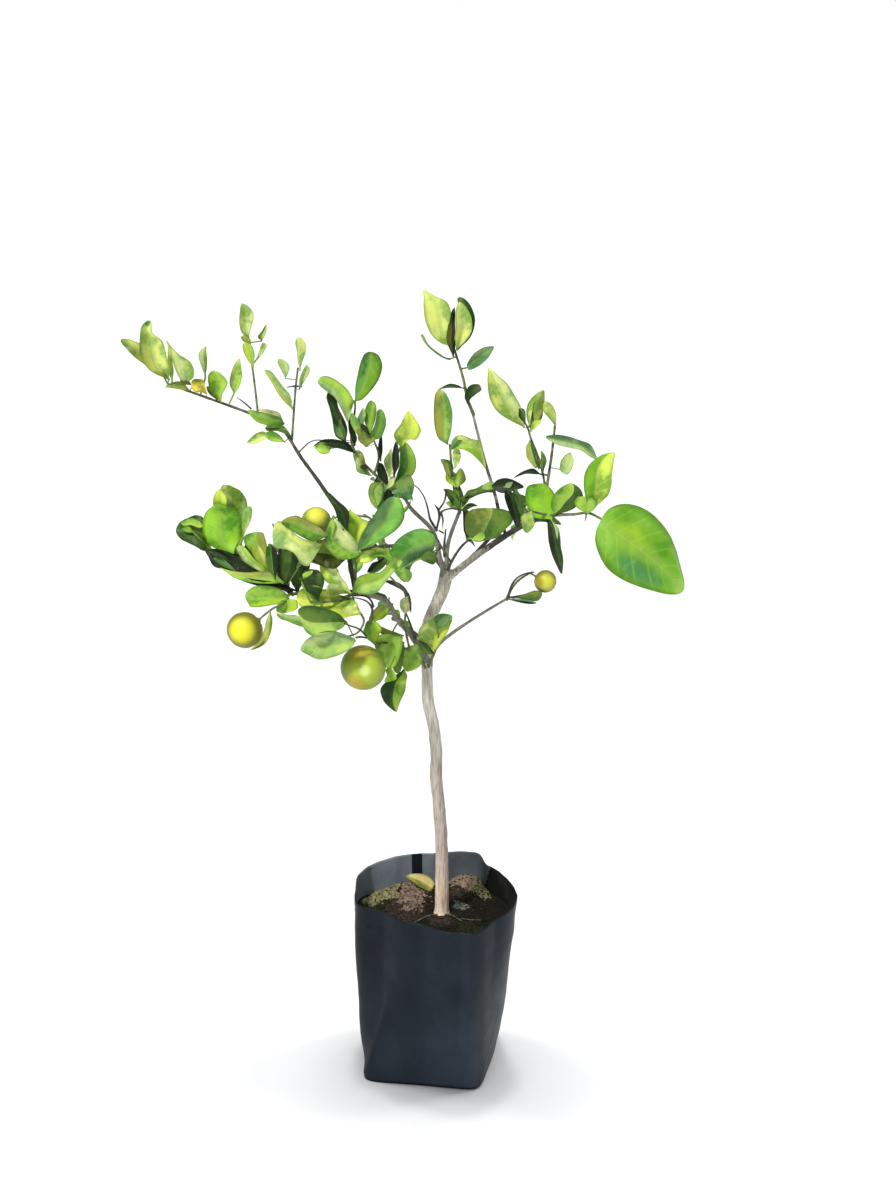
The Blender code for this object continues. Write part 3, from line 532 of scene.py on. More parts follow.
def smooth_route(points, radii, steps):
    """A curve through the points, with its radius, as steps for each stretch."""
    places = [Vector(point) for point in points]
    last = len(places) - 1
    slopes = []
    for k, place in enumerate(places):
        before, after = places[max(k - 1, 0)], places[min(k + 1, last)]
        slopes.append((after - before) / ((place - before).length + (after - place).length))
    route = []
    for k in range(last):
        start, end = places[k], places[k + 1]
        span = (end - start).length
        for step in range(steps):
            t = step / steps
            bend = start.lerp(end, smooth(t))
            bend += slopes[k] * (span * t * (1.0 - t) ** 2) - slopes[k + 1] * (span * t * t * (1.0 - t))
            route.append((bend, radii[k] + (radii[k + 1] - radii[k]) * t))
    route.append((places[-1], radii[-1]))
    return route


def even_radii(ends, count):
    return [ends[0] + (ends[1] - ends[0]) * k / (count - 1) for k in range(count)]


def limb_curve(name, route):
    """A limb as a curve with its own radius at each point, to be made a mesh."""
    curve = bpy.data.curves.new(name, "CURVE")
    curve.dimensions = "3D"
    curve.bevel_depth = MM
    curve.bevel_resolution = 6
    curve.use_fill_caps = True
    spline = curve.splines.new("POLY")
    spline.points.add(len(route) - 1)
    for point, (place, radius) in zip(spline.points, route):
        point.co = (*(place * MM), 1.0)
        point.radius = radius
    made = bpy.data.objects.new(name, curve)
    bpy.context.scene.collection.objects.link(made)
    return made


limb_routes = {"trunk": smooth_route(TRUNK_ROUTE, TRUNK_RADII, 6)}
for name, points in BOUGHS.items():
    limb_routes[name] = smooth_route(points, even_radii(BOUGH_RADII[name], len(points)), 6)
bpy.ops.object.select_all(action="DESELECT")
for name, route in limb_routes.items():
    limb = limb_curve("limb_" + name, route)
    limb.select_set(True)
    bpy.context.view_layer.objects.active = limb
bpy.ops.object.convert(target="MESH")
bpy.ops.object.join()
wood = bpy.context.object
wood.name = wood.data.name = "trunk_and_boughs"
bpy.ops.object.mode_set(mode="EDIT")
bpy.ops.mesh.select_all(action="SELECT")
bpy.ops.mesh.remove_doubles(threshold=0.000001)
bpy.ops.object.mode_set(mode="OBJECT")
apply_modifier(wood, "REMESH", mode="VOXEL", voxel_size=0.0009, use_smooth_shade=True)
apply_modifier(wood, "SMOOTH", factor=0.5, iterations=6)
skin_normals = [vert.normal.copy() for vert in wood.data.vertices]
for vert, normal in zip(wood.data.vertices, skin_normals):
    here = vert.co / MM
    stretched = Vector((here.x, here.y, here.z * 0.09))
    crack = noise.noise(stretched * 0.95)
    knuckle = noise.noise(here * 0.085 + Vector((3.0, 0.0, 0.0)))
    thick = 1.0 if here.z < 560.0 and abs(here.x) < 30.0 else 0.45
    vert.co += normal * MM * thick * (0.28 * crack + 0.5 * knuckle + 0.06 * noise.noise(here * 1.2))
wood.data.shade_smooth()

# Citrus bark: thin and dull. The trunk and leader are pale grey, pinker at the foot; their
# tone goes lighter and darker by height, partly the bark's own and partly painted light
# and shade, lightest at the foot. Younger wood is darker; the shaded bark is painted shade,
# near black.
def bark_look(name, ramp):
    look, shader = new_material(name, ramp[0][1], 0.85)
    shader.inputs["Specular IOR Level"].default_value = 0.25
    place = add_node(look, "TexCoord")
    stretch = add_node(look, "Mapping", values={"Scale": (1.0, 1.0, 0.07)},
                       links={"Vector": place.outputs["Object"]})
    streak = add_node(look, "TexNoise", values={"Scale": 640.0, "Detail": 4.0, "Roughness": 0.55},
                      links={"Vector": stretch.outputs["Vector"]})
    apart = add_node(look, "SeparateXYZ", links={"Vector": place.outputs["Object"]})
    height = add_node(look, "MapRange", values={"From Min": 0.17, "From Max": 0.66},
                      links={"Value": apart.outputs["Z"]})
    height_tone_and_shade = add_node(look, "ValToRGB", links={"Fac": height.outputs["Result"]})
    height_tone_and_shade.color_ramp.elements[0].color = linear(ramp[0][1])
    height_tone_and_shade.color_ramp.elements[1].color = linear(ramp[-1][1])
    for position, colour in ramp[1:-1]:
        height_tone_and_shade.color_ramp.elements.new(position).color = linear(colour)
    cracked = add_node(look, "ValToRGB", links={"Fac": streak.outputs["Fac"]})
    cracked.color_ramp.elements[0].position = 0.36
    cracked.color_ramp.elements[0].color = linear("#c8c0b7")
    cracked.color_ramp.elements[1].position = 0.55
    cracked.color_ramp.elements[1].color = linear("#ffffff")
    toned = add_node(look, "Mix", {"data_type": "RGBA", "blend_type": "MULTIPLY"}, {"Factor": 1.0},
                     {"A": height_tone_and_shade.outputs["Color"], "B": cracked.outputs["Color"]})
    look.node_tree.links.new(toned.outputs["Result"], shader.inputs["Base Color"])
    bump = add_node(look, "Bump", values={"Strength": 0.5, "Distance": 0.0006},
                    links={"Height": streak.outputs["Fac"]})
    look.node_tree.links.new(bump.outputs["Normal"], shader.inputs["Normal"])
    return look


wood.data.materials.append(bark_look("grey_citrus_bark", (
    (0.0, "#f4e0c4"), (0.07, "#eedcc4"), (0.13, "#c2b1a6"), (0.21, "#b8aba1"), (0.30, "#bcb4aa"),
    (0.36, "#b4aba0"), (0.43, "#d4cdc2"), (0.55, "#e2ddd2"), (0.62, "#d8d3c8"), (0.78, "#cbc6b6"),
    (1.0, "#c4bead"))))
wood.data.materials.append(bark_look("young_citrus_bark", ((0.0, "#97958b"), (1.0, "#8e8d7f"))))
wood.data.materials.append(bark_look("shaded_citrus_bark", ((0.0, "#4e4c44"), (1.0, "#45453c"))))
# Bark of each limb: 0 grey, 1 young, 2 shaded. Limbs not listed take the shaded bark, painted shade, except bough_top
# high up, which takes the young bark.
BARK_OF = {
    "trunk": 0, "bough_leader": 0, "bough_right": 0, "bough_centre": 1, "bough_low_left": 1,
    "bough_low_right": 1, "bough_centre_left": 1,
}
marks = [(place, BARK_OF.get(name, 1 if name == "bough_top" and place.z > 645.0 else 2))
         for name, route in limb_routes.items() for place, _ in route]
tree = KDTree(len(marks))
for k, (place, _) in enumerate(marks):
    tree.insert(place, k)
tree.balance()
for polygon in wood.data.polygons:
    middle = polygon.center / MM
    kind = marks[tree.find(middle)[1]][1]
    # High on the trunk's limbs the grey bark turns young and then shaded towards the right, painted shade.
    far = middle.x + 14.0 * noise.noise(middle * 0.3)
    if kind == 0 and middle.z > 500.0:
        kind = 2 if far > 58.0 else 1 if far > 30.0 else 0
    polygon.material_index = kind
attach(wood, "root")
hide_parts(*limb_routes)


# Twigs
# Each mass of foliage grows from one stem on its bough's tip. Stems and shoots are
# this year's wood: thin, green to grey brown, and knuckled where each leaf leaves.

# Rows of leaves: how far along the shoot, clock face direction, how far it leans and
# rolls in degrees, how far it stands forward, tints of its left and right half, form,
# and then its outline in the blade's own plane: where the blade starts, pairs of
# places on its left and right edge, and its length. Stems and shoots are places that
# each passes.
# Where a leaf's halves take two tints, the darker half stands partly for the shaded side of the fold, painted shade.
MASSES = {
    "foliage_left": {
        "stem": ((-142, 52, 691), (-166, 60, 725), (-198, 68, 737), (-257, 78, 757), (-290, 83, 768)),
        "shoots": {
            "tall": ((-189, 66, 734), (-193, 70, 773), (-198, 74, 814)),
            "short": ((-152, 56, 706), (-146, 52, 766), (-143, 52, 788)),
        },
        "leaves": {
            "stem": (
                (1.0, 10.46, -3, -14, 2, "olive/straw", "rumple", (1, 5, 4.5, 5.5, 17, 13.5, 20.5, 1,
                 32, 13.5, 35.5, 0, 45.5, 16, 49, -1, 56, 11.5, 61.5, -1.5, 64, 6.5, 69)),
                (1.0, 11.52, -4, 13, 5, "straw/cream", "rumple", (3, 3, 15.5, -13, 11, 5, 28, -20,
                 21.5, 6, 41, -20, 32.5, 7, 51.5, -16.5, 45, 7, 62, -12.5, 56, -1, 67, -8.5, 65.5, 1,
                 70.5)),
                (1.0, 11.54, -4, 0, 8, "grassy", "flat", (36.5, -8.5, 50, -12.5, 45, -6, 60, -9.5, 54,
                 -2, 66, -7, 63, 0.5, 69)),
                (.98, 11.87, -9, -5, 6, "cream/straw", "strap", (3.5, 3.5, 10.5, 1, 12.5, 7, 26, 1.5,
                 28.5, 7, 34.5, 2.5, 36.5, 7, 42.5, 2, 42, 4.5, 47.5)),
                (.89, 11.44, -3, -14, 7, "pale/straw", "cup", (5, 5.5, 11, 2.5, 7.5, 17.5, 22.5, 2,
                 16.5, 23, 34.5, 3, 25.5, 21.5, 42.5, 2.5, 35, 11.5, 49.5, 1.5, 46, 4, 54)),
                (.74, 10.32, -4, 13, 9, "gold", "rumple", (0, 3.5, 3.5, 0.5, 12.5, 11.5, 8.5, -3.5,
                 19.5, 8, 15.5, -3.5, 21, 3, 19.5)),
                (.85, 9.36, 8, 5, 3, "olive", "cup", (-0.5, 0.5, 8, -0.5, 9.5, 8, 18, -0.5, 19, 6.5,
                 26.5)),
                (.85, 10.72, 0, 0, 9, "umber", "flat", (2, 6.5, 5, 3.5, 9, 7, 9, 0, 13.5, 3.5, 14.5)),
                (.78, 0.3, -7, -13, 4, "dusty/olive", "cup", (20, 4, 31, -0.5, 31.5, 6, 41, -4.5, 41,
                 6, 47, -4, 48.5, 3, 53.5)),
                (.64, 11.72, 5, 14, 7, "lime/leafy", "cup", (0, 1, 13.5, -8, 10, 4.5, 25.5, -9.5, 20,
                 11.5, 33, -6.5, 31, 6, 35)),
                (.66, 10.87, 0, 0, 10, "umber/moss", "flat", (-0.5, 1, 9.5, -2.5, 7, 5, 15.5, -2, 15.5,
                 4.5, 18.5)),
                (.59, 0.51, -4, -3, 3, "straw/leafy", "cup", (14, 3.5, 21.5, -2, 22, 8.5, 33.5, -3.5,
                 34.5, 9, 43.5, -3, 44.5, 5, 52.5)),
                (.23, 9.87, 2, -12, 3, "green/spring", "cup", (-3.5, 4.5, -1.5, 2, 3, 9.5, 13, -4,
                 16.5, 8, 24.5, -5.5, 29.5, 5, 33, -3, 36, 3, 38.5)),
                (.24, 10.28, 0, 0, 6, "husk", "flat", (0, 7, 1.5, 6, 7, 11, 14.5, 1.5, 17.5, 7, 23.5,
                 -0.5, 25, 2.5, 28)),
                (.14, 9.39, 7, 6, 5, "leafy", "cup", (3.5, -6, 9, -7.5, 10, 0, 18.5, -8.5, 19.5, 2.5,
                 23.5, -6, 24.5, 0.5, 25.5)),
                (.28, 7.73, -1, -3, 4, "cream", "cup", (13.5, -7.5, 15.5, -10, 15, -2, 26, -8.5, 22.5,
                 1, 33.5, -5, 31.5, 1, 37.5)),
                (.13, 9.77, -8, -12, 2, "moss/spring", "cup", (-2.5, 2, 0.5, 3.5, 10, 11, 15, 3, 19.5,
                 8, 25.5, -1.5, 27.5, 4.5, 29.5)),
            ),
            "tall": (
                (1.0, 11.69, -3, 16, 3, "cream/pale", "cup", (3.5, 1, 10, -6.5, 9.5, 2.5, 22, -7.5,
                 19.5, 7, 34.5, -4.5, 29, 9.5, 39.5, -2, 37.5, 5.5, 41.5)),
                (.97, 10.88, 0, 0, 7, "olive", "flat", (-2.5, 1.5, 5, -3.5, 1, 4, 9.5, -3, 7, 3, 10)),
                (.66, 11.53, 9, -2, 4, "lemon/leafy", "cup", (-1, 1.5, 9, -2, 8, 5.5, 19.5, -3.5, 17,
                 8, 26, -2.5, 23.5, 6.5, 28)),
                (.72, 1.42, 1, -11, 2, "pale", "strap", (2, 2.5, 13, 0.5, 15.5, 4.5, 24.5, -4, 26, 2.5,
                 26.5)),
                (.99, 1.51, -6, 16, 3, "olive/spring", "strap", (11, 9, 11, 2.5, 16, 7.5, 17.5, 1.5,
                 22.5, 5, 27.5)),
            ),
            "short": (
                (.45, 10.78, -3, 7, 3, "straw/pale", "strap", (0.5, -1, 10, -4, 13, 5, 23.5, -4.5, 25,
                 4.5, 37, -2.5, 37, 4.5, 46, -2, 47.5, 4, 52)),
                (.84, 10.73, -2, -1, 2, "dusty", "cup", (8, -8.5, 10, -8, 9, -6, 17, -6.5, 11.5, -1,
                 26, -4.5, 15, 3, 28.5, -2, 22.5, 3.5, 28.5)),
                (.96, 0.14, 3, -10, 3, "pale/straw", "cup", (-0.5, 3, 9.5, 1, 10, 6, 22.5, -0.5, 21,
                 10, 30.5, -2, 29.5, 9, 34, -1.5, 33.5, 5.5, 36)),
                (.72, 0.92, 3, 17, 4, "dusty", "strap", (1, 4.5, 12, -1, 15, 5, 23.5, -2, 25.5, 5, 29)),
            ),
        },
    },
    "foliage_centre_left": {
        "stem": ((-26, -6, 654), (-37, -10, 664), (-63, -18, 687), (-81, -24, 714), (-77, -26, 752)),
        "shoots": {
            "side": ((-37, -10, 664), (-37, -22, 692), (-30, -26, 713)),
            "ball": ((-58, -16, 683), (-53, -32, 704), (-59, -40, 725)),
        },
        "leaves": {
            "stem": (
                (1.0, 0.56, 2, -14, 3, "grassy/green", "dome", (6.5, -2, 12.5, -6, 9, 2.5, 22, -9.5,
                 20, 8, 35.5, -11.5, 33.5, 12, 47, -12, 47.5, 12, 54, -10, 56.5, 7.5, 57.5, -6, 59.5,
                 4, 60)),
                (1.0, 10.19, 2, 13, 5, "dusty/leafy", "cup", (4.5, 5, -2, -20, 8.5, 4, 9, -14.5, 17.5,
                 8.5, 22.5, -6.5, 28, 10, 34, -5.5, 38.5, 9, 41.5, -4.5, 45.5, 5.5, 46.5)),
                (.70, 11.19, -1, 4, -1, "deep/dark", "cup", (4, -5.5, 14, -12.5, 14.5, 1.5, 30.5, -8.5,
                 25, 3, 43, -6, 39, 2.5, 53.5, -4.5, 48, 4.5, 58.5, -0.5, 54.5, 3, 59)),
                (.72, 11.29, -9, -5, 3, "jade/moss", "strap", (2.5, -6, 9, -11.5, 9.5, -1, 19, -11,
                 19.5, -1.5, 27.5, -7, 27.5, -1, 35)),
                (.67, 11.88, 3, -14, 1, "dark", "strap", (0.5, 2.5, 16.5, 0, 10, 8, 29, -0.5, 24.5,
                 3.5, 40, 0, 37, 3, 44.5)),
                (.61, 9.29, 10, -3, 3, "dark", "strap", (1, -0.5, 6, -0.5, 9, 8.5, 17, 1.5, 20, 10.5,
                 27.5, 2, 30.5, 10, 37.5, 4, 38, 7.5, 45)),
                (.68, 8.9, 2, -12, 5, "leafy", "cup", (22, -2, 24, -6.5, 24.5, 2.5, 31, -7, 30, 5.5,
                 36, -4, 35.5, 3.5, 39)),
                (.37, 10.89, -5, 15, 3, "dusty/olive", "rumple", (-1.5, -3.5, 10, -15.5, 3.5, -4.5, 19,
                 -11.5, 10, -3, 29, -7, 22.5, 0.5, 28.5)),
                (.45, 8.74, 0, 0, 8, "dark", "flat", (0, -1, 2, -3, 1.5, 1.5, 5, -2.5, 4.5, 2, 7)),
                (.21, 11.3, -1, -3, 3, "dark", "cup", (0.5, 1, 9, -5, 7, 3.5, 18, -5, 14.5, 4, 23.5,
                 -1.5, 21.5, 3.5, 24.5)),
                (.18, 3.11, -6, 16, 4, "spring/jade", "rumple", (-2, 2, 6, -6, 4.5, 7.5, 13.5, -14.5,
                 13, 10.5, 21, -13, 20, 12, 25.5)),
                (.19, 0.99, 0, 0, 8, "pale", "flat", (-4, 0, 2.5, -2.5, 2, 4, 8, -3, 8.5, 2.5, 11)),
                (.25, 6.37, -2, -1, 3, "moss/spring", "cup", (1.5, 0, 3.5, -1.5, 3, 12, 10.5, -3, 11.5,
                 14, 19, -2.5, 21, 11, 26.5, -1.5, 28, 5.5, 31)),
                (.26, 6.4, 0, 0, 7, "spring", "flat", (4, 1.5, 8, -2.5, 9, 6, 14.5, -4, 14.5, 7, 20,
                 -3, 21.5, 3.5, 27.5)),
                (.18, 6.7, 0, 0, 1, "dark", "flat", (1, 0.5, 7.5, -6.5, 9, 3.5, 12, -9, 14.5, 2.5, 18)),
            ),
            "ball": (
                (.92, 0.52, -4, 13, 3, "grassy", "cup", (-1.5, -2, 4.5, -5.5, 3, 6, 13.5, -3.5, 14.5,
                 8, 23, -4, 22.5, 6.5, 29, -4.5, 29, 3, 31.5)),
                (1.0, 11.99, 2, 5, 8, "green/leafy", "dome", (2.5, -1.5, 11, -6.5, 8.5, 2, 21, -7,
                 18.5, 5, 31, -4, 30, 5, 35.5)),
                (1.0, 11.43, 1, -4, 2, "dusty", "cup", (5, -10, 17, -11.5, 16.5, -3, 25.5, -5.5, 24.5,
                 1.5, 30)),
                (.99, 10.62, -7, -13, 6, "spring", "cup", (3.5, -10.5, 14, -10, 11.5, -4, 23, -7.5,
                 19.5, 1, 29, -3.5, 26, 1, 31)),
                (.81, 10.78, 5, 14, 5, "olive", "rumple", (3, -9.5, 14.5, -13, 3.5, 1, 21.5, -8.5, 11,
                 3, 23.5, -3, 18, 2.5, 21.5)),
                (1.0, 10.55, 0, 0, 10, "dark", "flat", (4.5, -2, 9, -3.5, 7, 1.5, 13.5, -2, 12, 2,
                 15.5)),
                (.38, 0.25, -8, -12, 2, "dark", "strap", (-0.5, 3, 8.5, 0, 9, 5, 19.5, -0.5, 20, 3.5,
                 29.5)),
            ),
            "side": (
                (.98, 0.41, 2, 16, 4, "lemon", "rumple", (-0.5, 0.5, 4, -6, 9, 6.5, 10.5, -10.5, 10.5,
                 13.5, 18.5, -9, 20.5, 15.5, 25, -7, 27, 12.5, 30.5, -3.5, 33, 7, 38)),
                (.14, 0.5, -4, 7, 3, "grassy/leafy", "dome", (0, 0, 9.5, 0, 11, 15, 20, 0.5, 21.5, 18,
                 30.5, -2, 31.5, 15, 39, -3.5, 40, 8.5, 45.5)),
                (.36, 0.15, 9, -2, 7, "dark", "strap", (-0.5, 0.5, 11.5, -2, 11.5, 5.5, 24, -2.5, 24.5,
                 4.5, 33, -1.5, 33.5, 2.5, 36)),
                (.31, 11.83, 1, -11, 5, "cream/pale", "cup", (0, -5, 10.5, -7.5, 6.5, 2, 19, -8, 17,
                 1.5, 25.5, -3, 25.5, 1, 30.5)),
            ),
        },
    },
    "foliage_middle": {
        "stem": ((-78, -61, 565), (-76, -74, 589), (-75, -80, 613), (-82, -88, 629)),
        "shoots": {"side": ((-79, -83, 617), (-95, -92, 626), (-112, -96, 632))},
        "leaves": {
            "stem": (
                (.00, 10.36, -9, -5, 22, "lemon/pale", "rumple", (1.5, -2.5, 14.5, -6, 10, 2, 25, -9.5,
                 20, 4.5, 33, -9, 28.5, 8, 41, -4.5, 36.5, 4.5, 44.5)),
                (.00, 8.88, 3, -14, 20, "olive/pale", "rumple", (3, -2, 10, -0.5, 9.5, 6.5, 20.5, -1,
                 19, 12.5, 27.5, 1, 25.5, 10, 28.5)),
                (.68, 10.99, 3, 13, 8, "leafy/pale", "rumple", (-3.5, 4.5, -0.5, -11, 7.5, 6.5, 8, -21,
                 18.5, 3.5, 19, -23.5, 26, 3, 26, -21.5, 34.5, 1, 37.5, -9.5, 40, 1, 42)),
                (1.0, 10.62, 3, 0, 6, "leafy", "flat", (7.5, -16, 14.5, -16, 11.5, -9.5, 20, -10, 16,
                 -2.5, 23, -4.5, 20.5, 0, 23)),
                (1.0, 11.01, -8, -4, 2, "deep/dark", "cup", (2, 0, 7.5, -1, 8.5, 5.5, 18, -0.5, 19.5,
                 13.5, 28, 2, 26.5, 13, 38.5, 2, 35.5, 9.5, 47, 1, 45, 6.5, 56.5)),
                (.77, 11.78, -4, -13, -1, "lime/lemon", "cup", (1.5, 3.5, 13, -3, 13, 9.5, 23, -2.5,
                 26, 20, 32, -1, 30.5, 12.5, 37.5, -1.5, 36, 5, 40)),
                (.72, 1.19, 2, 14, 13, "jade/verdant", "cup", (1.5, 2.5, 11.5, -3.5, 14.5, 8, 22.5, -6,
                 25.5, 13.5, 36, -7, 41, 17.5, 50, -8.5, 56.5, 17.5, 60.5, -7, 66, 12, 65.5, -4.5,
                 69.5, 6, 68.5)),
                (.73, 1.26, 0, 0, 6, "moss/spring", "flat", (14.5, 10.5, 37, -2.5, 40.5, 20, 53.5,
                 -6.5, 57, 19.5, 62.5, -6, 67.5, 9.5, 69.5)),
                (.63, 3.1, 10, -3, 4, "lemon/leafy", "cup", (6.5, -0.5, 17, -9, 18, -1, 25.5, -10.5,
                 28.5, -1.5, 34, -7, 38.5, 2.5, 39)),
                (.63, 4.88, 2, -12, 2, "moss/dark", "cup", (17, -24, 21.5, -23.5, 16.5, -16, 25, -16,
                 14.5, -9.5, 25, -7, 17, -2.5, 20)),
                (.56, 2.43, 2, 15, 7, "lemon", "cup", (0.5, 0, 12, -7.5, 8.5, 3.5, 19.5, -7.5, 16.5, 4,
                 25)),
                (.00, 1.69, 7, 6, 9, "leafy/spring", "strap", (-1, -1, 14.5, -10, 9, 6.5, 28.5, -7.5,
                 22.5, 14, 38, -0.5, 35, 11.5, 51, -2, 51, 8, 60.5, -5.5, 62.5, 6.5, 60.5)),
            ),
            "side": (
                (.82, 9.22, -6, -14, -2, "pale/cream", "rumple", (2, -8.5, 12.5, -31, 11.5, -5, 17.5,
                 -30.5, 19.5, -2.5, 27.5, -19, 30.5, 1.5, 36, -17.5, 38, 6.5, 46.5, -15.5, 44, 13, 51,
                 -11, 51, 7, 53.5)),
                (.76, 9.66, 6, 13, 9, "green/olive", "dome", (-0.5, 1.5, 3.5, -3, 5.5, 7, 10.5, -7,
                 14.5, 11, 21, -6, 25.5, 13, 32.5, -3.5, 35, 12.5, 41, -2, 42.5, 7.5, 47)),
                (.09, 8.55, -1, 4, -9, "umber/olive", "rumple", (7.5, -12.5, 18, -20, 10.5, 1, 25,
                 -18.5, 19.5, 11.5, 35, -12, 29.5, 11.5, 42.5, -7, 37.5, 7.5, 43)),
            ),
        },
        "fruit": {"side": (.9, (-115, -78, 642), 15.3)},
    },
    "foliage_low_middle": {
        "stem": ((-77, -62, 564), (-92, -80, 562), (-110, -86, 560), (-122, -88, 561)),
        "shoots": {"drop": ((-86, -74, 562), (-68, -80, 541), (-73, -88, 529), (-84, -92, 525))},
        "leaves": {
            "stem": (
                (.10, 8.88, 2, -14, 7, "lemon", "cup", (-1.5, -4, 13, -8.5, 10, 1, 25.5, -13, 24, 7,
                 36.5, -14, 34.5, 15, 48, -11, 46, 13, 54, -6, 52.5, 10, 57)),
                (.73, 8.83, 2, 0, 12, "grassy", "flat", (-1, -1.5, 3, -2.5, 3, 0, 10, -2, 10, 0.5, 14)),
                (.85, 11.58, -1, 4, -4, "deep", "rumple", (3, 0.5, 19.5, -12, 19, 10.5, 30.5, -12, 27,
                 10.5, 35, -6.5, 33, 7.5, 35.5)),
                (1.0, 0.23, 0, 0, 3, "leafy", "flat", (22.5, -12, 28.5, -9.5, 23.5, -8, 32, -4, 28.5,
                 -1.5, 32.5)),
                (.10, 5.04, 2, -14, 9, "cream/lemon", "rumple", (5.5, 0.5, 10.5, 0, 1, 11.5, 13, 1.5,
                 0.5, 25, 17, 1, 3.5, 31.5, 19.5, 2.5, 14.5, 25.5, 22.5, 2, 19, 11, 24.5)),
            ),
            "drop": (
                (.90, 9.77, -4, 13, 3, "spring/moss", "cup", (10.5, 9.5, 12.5, 0.5, 20, 13, 23, -12,
                 35.5, 12, 36, -20, 49.5, 8.5, 46, -17, 58, 5, 61)),
                (1.0, 9.67, 0, 0, 2, "spring/pale", "flat", (43.5, -4.5, 48.5, -6, 55, 3.5, 61.5, -5.5,
                 65, 1, 70.5, -4.5, 72.5, 0.5, 77)),
                (.00, 8.53, 0, 0, 3, "moss", "flat", (47.5, -11.5, 59.5, -10, 58.5, -5, 69.5, -6.5,
                 67.5, -2.5, 74)),
                (.90, 8.42, -7, -13, 7, "spring/dusty", "cup", (-1.5, -6.5, 1, -9.5, -1, -1.5, 8.5,
                 -12.5, 8.5, 8, 24.5, -14.5, 20, 14, 38, -13, 34, 14, 48.5, -6.5, 46.5, 9, 57)),
            ),
        },
    },
    "foliage_low_left": {
        "stem": ((-143, -58, 562), (-160, -54, 572), (-192, -42, 595), (-209, -36, 601), (-230, -28, 602)),
        "shoots": {
            "near": ((-146, -58, 563), (-150, -76, 557), (-162, -84, 552), (-176, -88, 541)),
            "far": ((-160, -54, 572), (-172, -22, 580), (-181, 2, 591)),
        },
        "leaves": {
            "stem": (
                (.76, 11.58, 5, -14, 12, "bright", "dome", (0, 2.5, 2.5, -11.5, 5, 5, 9.5, -25, 12,
                 10.5, 20.5, -31.5, 24, 14, 32.5, -28, 34, 15.5, 44.5, -20.5, 44, 11.5, 50.5, -10.5,
                 49.5, 7.5, 54.5)),
                (.72, 11.84, 6, 13, 2, "cream/lemon", "dome", (5, 3.5, 10, -7.5, 13, 10.5, 32, -15, 25,
                 15, 48, -15.5, 40, 19.5, 60, -13, 53, 20, 68, -9, 64.5, 14.5, 71.5, -5, 70, 8.5, 76)),
                (.93, 0.15, -1, 4, 7, "lemon", "cup", (42, 3.5, 48, -4.5, 50, 8, 57, -5.5, 56.5, 8.5,
                 62.5, -4, 62.5, 6, 66)),
                (.78, 11.84, -4, 0, -4, "spring", "flat", (24, 7.5, 47, -11, 46, 21.5, 65, -4.5, 54.5,
                 21.5, 70.5, -3, 64.5, 16, 73)),
                (.74, 0.68, 3, -14, 5, "spring", "cup", (22.5, 3.5, 31, 1, 34, 7, 41.5, -2, 46, 9, 50,
                 -3.5, 53.5, 6, 55)),
                (1.0, 9.96, -5, 13, 0, "deep/moss", "rumple", (2.5, 0, 6, -7, 25, 25, 15.5, -6, 33,
                 24.5, 25.5, -5.5, 38.5, 17, 31.5, -7, 42, 10.5, 37.5, -5, 44.5, 6, 43.5)),
                (1.0, 10.43, -5, 0, 5, "leafy", "flat", (22.5, 13.5, 25.5, 9, 32, 14.5, 33.5, 5.5,
                 39.5, 10.5, 38.5, 0, 42.5, 3, 43)),
                (1.0, 10.23, -5, 0, 6, "green", "flat", (27, 4.5, 28, 2.5, 32.5, 7, 32.5, 0, 37, 4.5,
                 38)),
                (.41, 9.64, -7, -13, -3, "dark", "cup", (1, -2, 12.5, -5.5, 15, 3, 24, -9, 29.5, 8, 37,
                 -10.5, 43, 9, 47, -11, 52.5, 7.5, 57, -4, 59, 3, 62.5)),
                (.71, 9.27, 5, 14, 2, "deep", "strap", (3, -10.5, 12.5, -9, 11, -4.5, 23.5, -5, 22,
                 -0.5, 30.5)),
                (.64, 9, -2, 5, 3, "jade", "strap", (6, -14.5, 14.5, -12, 12.5, -7, 24, -7, 22, -0.5,
                 30.5)),
                (.14, 9.57, -5, -3, 5, "leafy/straw", "strap", (-2.5, 5.5, 7.5, 1.5, 11, 12.5, 21,
                 -2.5, 22.5, 10, 35.5, -5, 36.5, 4.5, 48, -5, 49, 1.5, 57, -2.5, 58, 0.5, 66)),
                (.01, 9.53, 2, -12, 1, "dark", "strap", (-1, 3, 11, 2, 12.5, 7, 26.5, 0, 27.5, 5, 42.5,
                 0, 43.5, 4, 53.5)),
                (.01, 8.92, 4, 15, 6, "lime/leafy", "strap", (2, -2.5, 10, -12, 8.5, 2, 20, -14, 17, 5,
                 32, -16, 29.5, 6.5, 40.5, -15.5, 38.5, 6, 43.5, -11, 44.5, 3, 47.5)),
                (.30, 10.71, 4, -3, 8, "pale/leafy", "cup", (0, 3, 16, -3, 13.5, 5.5, 30, -6, 23.5,
                 3.5, 40.5, -5, 34, 4, 45, -3.5, 41, 3.5, 45)),
                (.31, 11.52, 2, -12, 3, "leafy/olive", "cup", (3, 4, 18.5, -4.5, 15.5, 8, 32, -6, 28,
                 11.5, 43, -10, 35.5, 12.5, 48.5, -9, 43, 13, 50.5, -4.5, 48, 11.5, 49.5)),
                (.34, 11.39, 3, 16, 7, "lemon/cream", "cup", (3.5, 6.5, 16, -2.5, 13, 7.5, 28, -5,
                 22.5, 9.5, 34.5, -3.5, 29.5, 8, 34.5)),
                (.10, 0.41, 9, -2, 1, "moss/deep", "cup", (3.5, 1.5, 20, -5, 23.5, 8, 34, -6, 36.5, 10,
                 43.5, -5, 44.5, 6.5, 49.5)),
